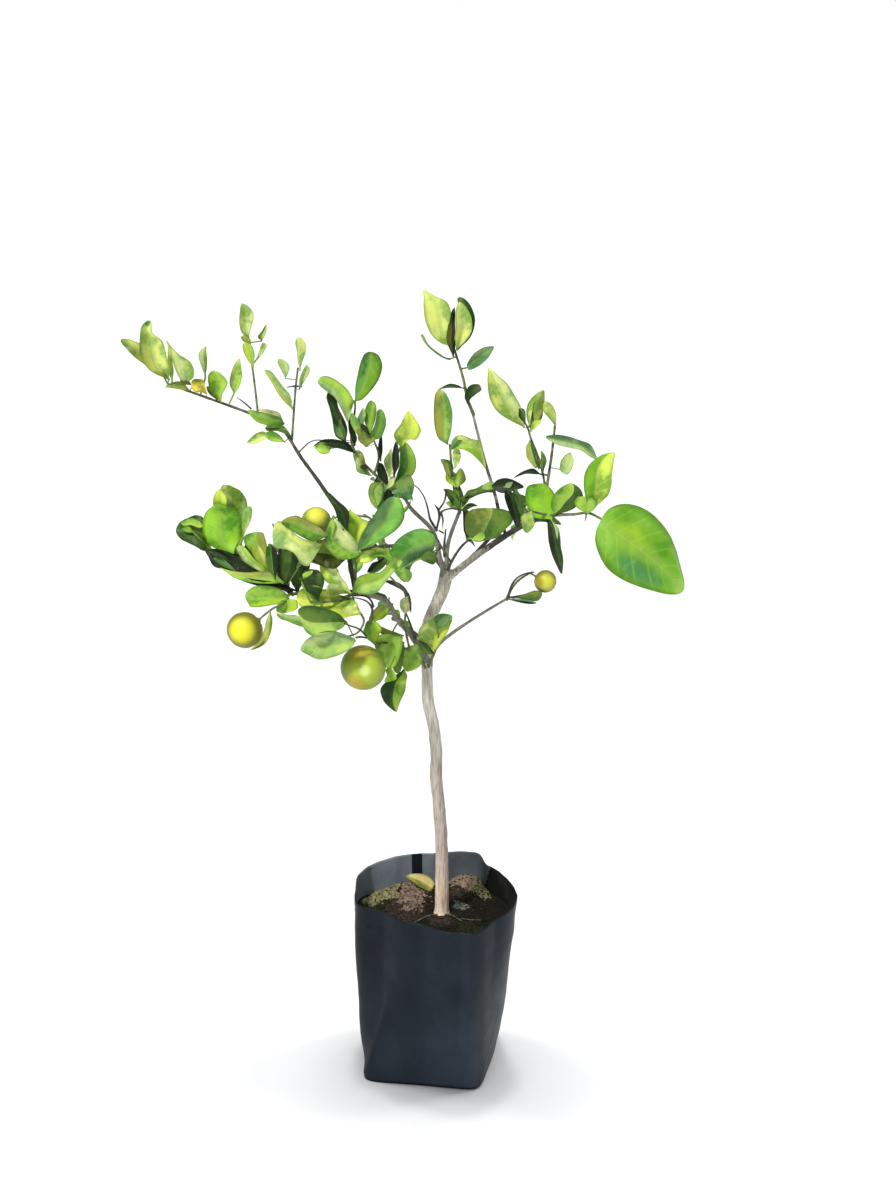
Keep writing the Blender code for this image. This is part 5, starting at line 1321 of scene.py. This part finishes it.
# The darkest tint is painted shade, for leaves that lie deep in shade.
TINTS = {
    "pale": "#c6d68c", "straw": "#b6c468", "cream": "#d0de7c", "lemon": "#c2d956", "gold": "#dcc64a",
    "lime": "#9dc235", "bright": "#84be2c", "leafy": "#98c04c", "spring": "#94b65c", "verdant": "#6ca648",
    "jade": "#668f58", "green": "#6c9a2c", "grassy": "#528234", "olive": "#8a9442", "umber": "#4f5420",
    "dusty": "#a3bc80", "grey": "#7d9a70", "moss": "#4e6c2c", "deep": "#344e22", "dark": "#202c18",
    "large": "#72a82e", "faded": "#948c44", "husk": "#dcd4a4", "buff": "#c4b97e",
}


def set_leaf(route, row):
    """A leaf's start, direction, facing and the start of its blade plane, from its row."""
    share, clock, lean, roll, near = row[:5]
    base, _ = place_on(route, share)
    hand, lean = math.radians(clock * 30.0), math.radians(lean)
    direction = Vector((
        math.sin(hand) * math.cos(lean), -math.sin(lean), math.cos(hand) * math.cos(lean)))
    facing = (VIEW - direction * VIEW.dot(direction)).normalized()
    facing = Matrix.Rotation(math.radians(roll), 3, direction) @ facing
    return base, base + VIEW * near, direction, facing


def spread_leaf(route, share, length, order):
    """A leaf from the spiral rule, each turned on from the one below it."""
    base, along = place_on(route, share)
    across = along.cross(Vector((0.0, 0.0, 1.0))).normalized()
    out = Matrix.Rotation(math.tau * GOLDEN_SHARE * order, 3, along) @ across
    direction = (along * 0.55 + out * 0.9 + Vector((0.0, 0.0, 0.12))).normalized()
    facing = Vector((0.0, -0.2, 1.0))
    facing = (facing - direction * facing.dot(direction)).normalized()
    facing = Matrix.Rotation(0.5 * math.sin(order * 2.1), 3, direction) @ facing
    return base, base, direction, facing


def in_a_gap(place, length):
    """Whether a leaf of the far side would close one of the crown's gaps."""
    base, _, direction, _ = place
    for share in (0.2, 0.5, 0.8, 1.0):
        spot = base + direction * (length * share)
        seen = EYE + (spot - EYE) * (EYE.y / (EYE.y - spot.y))
        if any(math.hypot(seen.x - x, seen.z - z) < reach + 8.0 for x, z, reach in GAPS):
            return True
    return False


def spread_outline(length, turn, rng):
    """An even leaf's outline: broadest past the middle, on a short petiole."""
    outline, widest = [length * 0.1, 0.0], rng.uniform(0.95, 1.25)
    for share in (0.1, 0.28, 0.5, 0.72, 0.9):
        half = length * rng.uniform(0.21, 0.25) * math.sin(math.pi * share ** widest) ** 0.6
        along, bow = length * (0.1 + 0.9 * share), length * 0.04 * math.sin(turn + share * 3.0)
        outline += [along, bow - half, along, bow + half]
    return outline + [length]


def add_leaf(sheaf, place, outline, form, own, finish):
    """Adds a leaf: petiole, and a blade with the given outline, all one closed form."""
    base, start, direction, facing = place
    cup, fold, bend, wave, rumple = FORMS[form]
    side = direction.cross(facing)
    beats, phase = own.uniform(1.3, 2.6), own.uniform(0.0, math.tau)
    cup, bend = cup * own.uniform(0.7, 1.3), bend * own.uniform(0.6, 1.4)
    length = outline[-1]
    neck, tip = Vector((*outline[:2], 0.0)), Vector((length, 0.0, 0.0))
    pairs = [outline[k:k + 4] for k in range(2, len(outline) - 1, 4)]
    loop = [neck] + [Vector((pair[0], pair[1], 0.0)) for pair in pairs] + [tip]
    loop += [Vector((pair[2], pair[3], 0.0)) for pair in reversed(pairs)] + [neck]
    edge = [spot for spot, _ in smooth_route(loop, [0.0] * len(loop), 3)]
    rows = []
    last = (len(edge) - 1) // 2
    for k in range(last + 1):
        left, right = edge[k], edge[-1 - k]
        if k in (0, last):
            half = PETIOLE_HALF if k == 0 else 0.15
            left, right = left - Vector((0.0, half, 0.0)), right + Vector((0.0, half, 0.0))
        along = k / last
        half = (right - left).length * 0.5
        lift = bend * length * along * (1.0 - along)
        top, under = [], []
        for column in COLUMNS:
            spot = left.lerp(right, 0.5 + 0.5 * column)
            rise = half * (0.5 * cup * column * column + fold * abs(column)) + lift
            ripple = math.sin(beats * math.tau * along + phase + (1.4 if column > 0.0 else 0.0))
            rise += wave * half * abs(column) ** 3 * ripple
            there = start + direction * spot.x + side * spot.y + facing * rise
            share = smooth(min(1.0, 4.0 * min(along, half / 6.0)))
            there += facing * rumple * share * noise.noise(there * 0.12 + Vector((phase, 0.0, 0.0)))
            thick = PETIOLE_HALF if k == 0 else BLADE * (1.0 - 0.6 * column ** 4)
            top.append((there + facing * thick) * MM)
            under.append((there - facing * thick) * MM)
        rows.append((top, under, (along, half)))
    root = []
    for column in COLUMNS:
        there = base + side * (PETIOLE_HALF * column)
        root.append(((there + facing * PETIOLE_HALF) * MM, (there - facing * PETIOLE_HALF) * MM))
    rows.insert(0, ([spot for spot, _ in root], [spot for _, spot in root], (0.0, 0.1)))
    verts, uvs, faces, kinds = [], [], [], []
    count = len(COLUMNS)
    left_look, right_look = [tint_order.index(tint) for tint in finish]
    for top, under, (along, _) in rows:
        verts.extend(top + under)
        uvs.extend([(along, 0.5 + 0.5 * column) for column in COLUMNS] * 2)
    for k in range(len(rows) - 1):
        low, high = k * 2 * count, (k + 1) * 2 * count
        for j in range(count - 1):
            faces.append((low + j, high + j, high + j + 1, low + j + 1))
            faces.append((low + count + j + 1, high + count + j + 1, high + count + j, low + count + j))
            kinds += [left_look if j < count // 2 else right_look] * 2
        faces.append((low + count, high + count, high, low))
        faces.append((low + count - 1, high + count - 1, high + 2 * count - 1, low + 2 * count - 1))
        kinds += [left_look, right_look]
    end = (len(rows) - 1) * 2 * count
    for j in range(count - 1):
        faces.append((j, j + 1, count + j + 1, count + j))
        faces.append((end + j + 1, end + j, end + count + j, end + count + j + 1))
        kinds += [left_look, left_look]
    first = len(sheaf.verts)
    sheaf.verts.extend(verts)
    sheaf.uvs.extend(uvs)
    sheaf.faces.extend([[first + k for k in face] for face in faces])
    sheaf.finishes.extend(kinds)


# Leaf blade: a waxed cuticle over green tissue. Its gloss is broad, the midrib and side
# veins are paler, and a little light passes through. Broad patches of painted shade and
# painted light lie over each blade, leaned so that one side is darker than the other.
def leaf_look(name, colour, patches):
    look, shader = new_material(name, colour, 0.5, IOR=1.45)
    shader.inputs["Specular IOR Level"].default_value = 0.3
    shader.inputs["Subsurface Weight"].default_value = 0.15
    shader.inputs["Subsurface Radius"].default_value = (0.6, 1.0, 0.2)
    shader.inputs["Subsurface Scale"].default_value = 0.002
    base = linear(colour)
    gain = 1.0 - base[1]

    def tinted(red, green, blue):
        return [min(1.0, base[0] * red), min(1.0, base[1] * green), min(1.0, base[2] * blue), 1.0]

    place = add_node(look, "TexCoord")
    apart = add_node(look, "SeparateXYZ", links={"Vector": place.outputs["UV"]})
    half = add_node(look, "Math", {"operation": "SUBTRACT"}, {1: 0.5}, {0: apart.outputs["Y"]})
    out = add_node(look, "Math", {"operation": "ABSOLUTE"}, None, {0: half.outputs["Value"]})
    slant = add_node(look, "Math", {"operation": "MULTIPLY"}, {1: -2.6}, {0: out.outputs["Value"]})
    march = add_node(look, "Math", {"operation": "MULTIPLY_ADD"}, {1: 9.0},
                     {0: apart.outputs["X"], 2: slant.outputs["Value"]})
    beat = add_node(look, "Math", {"operation": "PINGPONG"}, {1: 0.5}, {0: march.outputs["Value"]})
    vein = add_node(look, "MapRange", {"interpolation_type": "SMOOTHSTEP"},
                    {"From Min": 0.0, "From Max": 0.12, "To Min": 1.0, "To Max": 0.0},
                    {"Value": beat.outputs["Value"]})
    midrib = add_node(look, "MapRange", {"interpolation_type": "SMOOTHSTEP"},
                      {"From Min": 0.006, "From Max": 0.02, "To Min": 1.0, "To Max": 0.0},
                      {"Value": out.outputs["Value"]})
    clouds = add_node(look, "TexNoise", values={"Scale": 48.0, "Detail": 2.0, "Roughness": 0.5},
                      links={"Vector": place.outputs["Object"]})
    mottle = add_node(look, "TexNoise", values={"Scale": 210.0, "Detail": 2.0},
                      links={"Vector": place.outputs["Object"]})
    # A slow noise leans the patches across and along each leaf, so one side and one end come out darker, as painted
    # shade, and the other lighter, as painted light.
    whim = add_node(look, "TexNoise", values={"Scale": 13.0, "Detail": 0.0},
                    links={"Vector": place.outputs["Object"]})
    whims = add_node(look, "SeparateXYZ", links={"Vector": whim.outputs["Color"]})
    across_lean = add_node(look, "MapRange", values={"From Min": 0.42, "From Max": 0.58, "To Min": -0.34, "To Max": 0.34},
                           links={"Value": whims.outputs["X"]})
    along_lean = add_node(look, "MapRange", values={"From Min": 0.42, "From Max": 0.58, "To Min": -0.26, "To Max": 0.26},
                          links={"Value": whims.outputs["Y"]})
    middle_off = add_node(look, "Math", {"operation": "SUBTRACT"}, {1: 0.5}, {0: apart.outputs["X"]})
    grain = add_node(look, "Math", {"operation": "MULTIPLY_ADD"}, {1: 0.32},
                     {0: mottle.outputs["Fac"], 2: clouds.outputs["Fac"]})
    sided = add_node(look, "Math", {"operation": "MULTIPLY_ADD"}, None,
                     {0: half.outputs["Value"], 1: across_lean.outputs["Result"], 2: grain.outputs["Value"]})
    patch = add_node(look, "Math", {"operation": "MULTIPLY_ADD"}, None,
                     {0: middle_off.outputs["Value"], 1: along_lean.outputs["Result"], 2: sided.outputs["Value"]})
    # High patch values darken the blade as painted shade, low ones lighten it as painted light.
    shade = add_node(look, "MapRange", {"interpolation_type": "SMOOTHSTEP"},
                     {"From Min": 0.64, "From Max": 0.83, "To Max": 0.3 if patches else 0.95},
                     {"Value": patch.outputs["Value"]})
    painted_light_patch = add_node(look, "MapRange", {"interpolation_type": "SMOOTHSTEP"},
                    {"From Min": 0.66, "From Max": 0.50, "To Max": 0.3 if patches else 0.95},
                    {"Value": patch.outputs["Value"]})
    body = add_node(look, "Mix", {"data_type": "RGBA"}, {"Factor": 0.0, "A": base, "B": base})
    for (along, across), (long, wide), shade_colour in patches:
        off = add_node(look, "VectorMath", {"operation": "SUBTRACT"}, {1: (along, across, 0.0)},
                       {0: place.outputs["UV"]})
        even = add_node(look, "VectorMath", {"operation": "DIVIDE"}, {1: (long, wide, 1.0)},
                        {0: off.outputs["Vector"]})
        reach = add_node(look, "VectorMath", {"operation": "LENGTH"}, None, {0: even.outputs["Vector"]})
        cover = add_node(look, "MapRange", {"interpolation_type": "SMOOTHSTEP"},
                         {"From Min": 1.0, "From Max": 0.2, "To Max": 0.85}, {"Value": reach.outputs["Value"]})
        body = add_node(look, "Mix", {"data_type": "RGBA"}, {"B": linear(shade_colour)},
                        {"Factor": cover.outputs["Result"], "A": body.outputs["Result"]})
    shaded = add_node(look, "Mix", {"data_type": "RGBA"}, {"B": tinted(0.38, 0.56, 0.38)},
                      {"Factor": shade.outputs["Result"], "A": body.outputs["Result"]})
    lit = add_node(look, "Mix", {"data_type": "RGBA"}, {"B": tinted(1.0 + 0.6 * gain, 1.0 + 0.36 * gain, 1.0)},
                   {"Factor": painted_light_patch.outputs["Result"], "A": shaded.outputs["Result"]})
    lines = add_node(look, "Math", {"operation": "MAXIMUM"}, None,
                     {0: vein.outputs["Result"], 1: midrib.outputs["Result"]})
    faint = add_node(look, "Math", {"operation": "MULTIPLY"}, {1: 0.26 if patches else 0.16},
                     {0: lines.outputs["Value"]})
    middle = add_node(look, "MapRange", {"interpolation_type": "SMOOTHSTEP"},
                      {"From Min": 0.17, "From Max": 0.0, "To Max": 0.45 if base[1] > max(0.15, base[0]) else 0.06},
                      {"Value": out.outputs["Value"]})
    blended = add_node(look, "Mix", {"data_type": "RGBA"}, {"B": linear("#86a64c")},
                       {"Factor": middle.outputs["Result"], "A": lit.outputs["Result"]})
    veined = add_node(look, "Mix", {"data_type": "RGBA"}, {"B": tinted(1.9, 1.6, 1.8)},
                      {"Factor": faint.outputs["Value"], "A": blended.outputs["Result"]})
    margin = add_node(look, "MapRange", {"interpolation_type": "SMOOTHSTEP"},
                      {"From Min": 0.36, "From Max": 0.495, "To Max": 0.75}, {"Value": out.outputs["Value"]})
    edged = add_node(look, "Mix", {"data_type": "RGBA"}, {"B": tinted(0.34, 0.44, 0.32)},
                     {"Factor": margin.outputs["Result"], "A": veined.outputs["Result"]})
    foot = add_node(look, "MapRange", {"interpolation_type": "SMOOTHSTEP"},
                    {"From Min": 0.22, "From Max": 0.0, "To Max": 0.5}, {"Value": apart.outputs["X"]})
    rooted = add_node(look, "Mix", {"data_type": "RGBA"}, {"B": tinted(0.5, 0.6, 0.45)},
                      {"Factor": foot.outputs["Result"], "A": edged.outputs["Result"]})
    look.node_tree.links.new(rooted.outputs["Result"], shader.inputs["Base Color"])
    bump = add_node(look, "Bump", values={"Strength": 0.3, "Distance": 0.0005},
                    links={"Height": vein.outputs["Result"]})
    look.node_tree.links.new(bump.outputs["Normal"], shader.inputs["Normal"])
    return look


tint_order = list(TINTS)
# The very large leaf is patched: darker and yellower above, bluer below, pale at its tip,
# and with a pale spot at one edge that is a painted reflection
PATCHES = {"large": (
    ((0.43, 0.42), (0.24, 0.30), "#9ac020"), ((0.20, 0.72), (0.26, 0.42), "#98c850"),
    ((0.31, 0.20), (0.12, 0.24), "#4c8a0c"), ((0.64, 0.24), (0.24, 0.24), "#4e8c12"),
    ((0.57, 0.78), (0.25, 0.26), "#468450"), ((0.95, 0.50), (0.20, 0.90), "#a6ce60"),
    ((0.80, 0.0), (0.22, 0.16), "#b2cc8e"))}
leaf_looks = [leaf_look("citrus_leaf_" + tint, colour, PATCHES.get(tint, ())) for tint, colour in TINTS.items()]
BACK_TINTS = ("moss", "green", "grassy", "deep", "jade", "spring", "leafy")
BACK_FORMS = ("cup", "rumple", "cup", "dome", "strap")

leaves = Sheaf()
for index, (mass_name, mass) in enumerate(MASSES.items()):
    own = random.Random(FIRST_SEED + index)
    routes = mass_routes[mass_name]
    if "spread" in mass:
        _, _, per_shoot, length = mass["spread"]
        order = FIRST_SEED + index
        for key, route in routes.items():
            rows = per_shoot + (2 if key == "stem" else 0)
            for k in range(rows):
                size = length * (0.82 + 0.3 * own.random())
                tint = BACK_TINTS[order % len(BACK_TINTS)]
                share = 0.3 + 0.7 * k / (rows - 1)
                places = [spread_leaf(route, share, size, order + 0.37 * step) for step in range(36)]
                if "turns" in mass:
                    turn = mass["turns"][order - FIRST_SEED - index]
                    free = [] if turn is None else [places[turn]]
                else:
                    free = [place for place in places[:12] if not in_a_gap(place, size)]
                if free:
                    add_leaf(leaves, free[0], spread_outline(size, order, own),
                             BACK_FORMS[order % len(BACK_FORMS)], own, (tint, tint))
                order += 1
    else:
        for key, rows in mass["leaves"].items():
            for row in rows:
                halves = row[5].split("/")
                add_leaf(leaves, set_leaf(routes[key], row), row[7], row[6], own, (halves[0], halves[-1]))
# One leaf has fallen and yellowed on the heap, curled up at its tip.
fallen, fallen_tip = Vector((3.0, 70.0, 176.5)), Vector((-31.0, 77.0, 189.0))
along = (fallen_tip - fallen).normalized()
up_face = Vector((0.0, -0.75, 0.66))
up_face = (up_face - along * up_face.dot(along)).normalized()
add_leaf(leaves, (fallen, fallen, along, up_face),
         (2.0, 0.0, 3.0, -7.0, 2.0, 4.0, 12.0, -7.5, 10.0, 8.5, 24.0, -5.5, 22.0, 8.0, 33.0, -2.0, 33.0, 4.0, 37.0),
         "cup", random.Random(FIRST_SEED), ("faded", "buff"))
crown_leaves = leaves.make("crown_leaves", leaf_looks)
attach(crown_leaves, "root")
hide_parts(*MASSES)


# Fruit
# Unripe minneolas: round with a slight neck, a finely pitted glossy peel from green
# to yellow, and a small green calyx on a short stalk.

# Peel colours, and blushes as a direction from the fruit's middle, spread and colour.
# On the low left, fork and low right fruit a broad blush faces forward, painted light, and
# the peel colours around it darken to the rim as painted shade. The pale spot on the fork's
# fruit is a painted highlight; on the low right fruit the brown to the left and the dark
# underneath are painted shade. The orange blushes on the fork's fruit are the peel's own.
FRUIT_COLOURS = {
    "foliage_low_left": ("#7f7c1e", "#74762a", (((-0.1, -0.97, 0.2), 0.5, "#f4f032"),)),
    "foliage_fork": ("#7e9028", "#7a8a2c", (
        ((0.2, -0.97, 0.1), 0.35, "#b6cc42"), ((-0.11, -0.53, 0.84), 0.78, "#b0a032"),
        ((-0.28, -0.80, -0.52), 0.80, "#b4a22e"), ((0.15, -0.98, 0.12), 0.95, "#d6ea8a"))),
    "foliage_low_right": ("#8e8c30", "#80842e", (
        ((0.1, -0.97, 0.15), 0.45, "#dcdc4c"), ((-0.6, -0.75, 0.1), 0.8, "#b09c2c"),
        ((-0.3, -0.3, -0.9), 0.72, "#2e3318"))),
    "foliage_middle": ("#8e9a3a", "#86903a", (((0.12, -0.7, 0.75), 0.6, "#e6e24c"),)),
}
fruits = Sheaf()
fruit_looks = []
for mass_name, (main, under, blushes_light_and_shade) in FRUIT_COLOURS.items():
    key, (share, centre, radius) = next(iter(MASSES[mass_name]["fruit"].items()))
    start, _ = place_on(mass_routes[mass_name][key], share)
    heart = Vector(centre)
    axis = (start - heart).normalized()
    side = axis.cross(Vector((0.2, 0.9, 0.3))).normalized()
    up = axis.cross(side)
    rings, around = 26, 40
    verts, faces = [(heart + axis * radius * 0.93) * MM], []
    for k in range(1, rings):
        polar = math.pi * k / rings
        for step in range(around):
            turn = math.tau * step / around
            out = axis * math.cos(polar) + (side * math.cos(turn) + up * math.sin(turn)) * math.sin(polar)
            reach = radius * (1.0 - 0.07 * math.exp(-(polar / 0.25) ** 2) - 0.03 * math.cos(polar) ** 2)
            reach += 0.012 * radius * noise.noise(out * 3.0 + heart * 0.1) + 0.10 * noise.noise(out * 30.0)
            verts.append((heart + out * reach) * MM)
    verts.append((heart - axis * radius * 0.96) * MM)
    for step in range(around):
        after = (step + 1) % around
        faces.append((0, 1 + step, 1 + after))
        for k in range(rings - 2):
            low, high = 1 + k * around, 1 + (k + 1) * around
            faces.append((low + step, high + step, high + after, low + after))
        end = 1 + (rings - 2) * around
        faces.append((end + step, len(verts) - 1, end + after))
    fruits.add(verts, faces, len(fruit_looks))
    look, shader = new_material("citrus_peel_" + mass_name, main, 0.42, IOR=1.46)
    shader.inputs["Specular IOR Level"].default_value = 0.35
    shader.inputs["Subsurface Weight"].default_value = 0.15
    shader.inputs["Subsurface Radius"].default_value = (1.0, 0.9, 0.2)
    shader.inputs["Subsurface Scale"].default_value = 0.003
    place = add_node(look, "TexCoord")
    clouds = add_node(look, "TexNoise", values={"Scale": 60.0, "Detail": 3.0},
                      links={"Vector": place.outputs["Object"]})
    band = add_node(look, "MapRange", values={"From Min": 0.45, "From Max": 0.75},
                    links={"Value": clouds.outputs["Fac"]})
    tone = add_node(look, "Mix", {"data_type": "RGBA"}, {"A": linear(main), "B": linear(under)},
                    {"Factor": band.outputs["Result"]})
    away = add_node(look, "VectorMath", {"operation": "SUBTRACT"}, {1: tuple(heart * MM)},
                    {0: place.outputs["Object"]})
    ray = add_node(look, "VectorMath", {"operation": "NORMALIZE"}, None, {0: away.outputs["Vector"]})
    # Each blush mixes in by direction: some are the peel's own, some painted light, painted shade or a painted
    # highlight.
    for way, spread, colour in blushes_light_and_shade:
        near = add_node(look, "VectorMath", {"operation": "DOT_PRODUCT"}, {1: tuple(Vector(way).normalized())},
                        {0: ray.outputs["Vector"]})
        share = add_node(look, "MapRange", {"interpolation_type": "SMOOTHSTEP"},
                         {"From Min": spread, "From Max": 1.0, "To Max": 0.9}, {"Value": near.outputs["Value"]})
        tone = add_node(look, "Mix", {"data_type": "RGBA"}, {"B": linear(colour)},
                        {"Factor": share.outputs["Result"], "A": tone.outputs["Result"]})
    look.node_tree.links.new(tone.outputs["Result"], shader.inputs["Base Color"])
    pores = add_node(look, "TexVoronoi", values={"Scale": 620.0}, links={"Vector": place.outputs["Object"]})
    pore_bump = add_node(look, "Bump", values={"Strength": 0.35, "Distance": 0.0008},
                         links={"Height": pores.outputs["Distance"]})
    look.node_tree.links.new(pore_bump.outputs["Normal"], shader.inputs["Normal"])
    fruit_looks.append(look)
    stalk = [start, start.lerp(heart + axis * radius, 0.5), heart + axis * radius * 0.9]
    fruits.add(*rod(stalk, [1.1, 1.0, 1.3], 8), len(FRUIT_COLOURS))
    collar = [heart + axis * radius * 0.90, heart + axis * radius * 0.96, heart + axis * radius * 1.02]
    fruits.add(*rod(collar, [radius * 0.2, radius * 0.16, 1.2], 10), len(FRUIT_COLOURS))
fruit_looks.append(new_material("fruit_stalk_green", "#6f8a3c", 0.6)[0])
crown_fruit = fruits.make("crown_fruit", fruit_looks)
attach(crown_fruit, "root")


# Floor, light and camera
# A plain white studio floor, an open white dome of light, a broad light overhead and
# a softened key from the upper left, and a camera where the photograph was taken.

bpy.ops.object.select_all(action="DESELECT")
bpy.ops.mesh.primitive_circle_add(vertices=96, radius=40.0, fill_type="NGON", location=(0.0, 0.0, 0.0))
floor = bpy.context.object
floor.name = "studio_floor"
floor_look, _ = new_material("matt_white_paint", "#f4f4f4", 0.9)
floor.data.materials.append(floor_look)

# The dome shows as plain white behind the plant, and lights it less than it shows.
world = bpy.data.worlds.new("studio_air")
bpy.context.scene.world = world
world.use_nodes = True
air = world.node_tree.nodes["Background"]
air.inputs["Color"].default_value = (0.93, 0.96, 1.0, 1.0)
air.inputs["Strength"].default_value = 0.30
seen = world.node_tree.nodes.new("ShaderNodeBackground")
seen.inputs["Color"].default_value = (1.0, 1.0, 1.0, 1.0)
path = world.node_tree.nodes.new("ShaderNodeLightPath")
choose = world.node_tree.nodes.new("ShaderNodeMixShader")
world.node_tree.links.new(path.outputs["Is Camera Ray"], choose.inputs["Fac"])
world.node_tree.links.new(air.outputs["Background"], choose.inputs[1])
world.node_tree.links.new(seen.outputs["Background"], choose.inputs[2])
world.node_tree.links.new(choose.outputs["Shader"], world.node_tree.nodes["World Output"].inputs["Surface"])


def far_light(name, place, softness, strength, colour):
    """A distant light that shines from a direction, softened by its apparent size in degrees."""
    light = bpy.data.lights.new(name, "SUN")
    light.angle = math.radians(softness)
    light.energy = strength
    light.color = colour
    made = bpy.data.objects.new(name, light)
    bpy.context.scene.collection.objects.link(made)
    made.rotation_euler = Vector(place).to_track_quat("Z", "Y").to_euler()
    return made


# Overhead lights for the floor: direction, softness and strength
overheads = [far_light("overhead_light_%d" % k, (x, y, 1.0), softness, strength, (1.0, 1.0, 1.0))
             for k, (x, y, softness, strength) in enumerate((
                 (0.0, 0.33, 50.0, 1.35), (0.8, 0.38, 16.0, 0.69), (0.0, 0.31, 7.0, 0.65),
                 (-1.3, 0.8, 16.0, 0.48), (-0.5, 0.4, 14.0, 0.34), (0.25, 0.45, 16.0, 0.2)))]
key = far_light("key_light", (-0.55, -0.75, 1.0), 9.0, 3.0, (1.0, 0.98, 0.93))
top = far_light("top_light", (0.2, 0.1, 1.0), 50.0, 0.8, (1.0, 1.0, 1.0))
plant_group = bpy.data.collections.new("lit_plant")
for piece in (bag, mix, mix_crumbs, wood, crown_twigs, crown_leaves, crown_fruit):
    plant_group.objects.link(piece)
floor_group = bpy.data.collections.new("lit_floor")
floor_group.objects.link(floor)
key.light_linking.receiver_collection = plant_group
top.light_linking.receiver_collection = plant_group
bag_group = bpy.data.collections.new("shading_bag")
bag_group.objects.link(bag)
for light in overheads:
    light.light_linking.receiver_collection = floor_group
    light.light_linking.blocker_collection = bag_group

camera_data = bpy.data.cameras.new("camera")
camera_data.sensor_fit = "AUTO"
camera_data.sensor_width = 36.0
camera_data.lens = 36.0 * 1509.6 / 1195.0
camera = bpy.data.objects.new("camera", camera_data)
bpy.context.scene.collection.objects.link(camera)
camera.location = (0.019, -1.592, 0.907)
camera.rotation_euler = (math.radians(90.0 - 12.8), 0.0, 0.0)
bpy.context.scene.camera = camera
bpy.context.scene.view_settings.view_transform = "Standard"
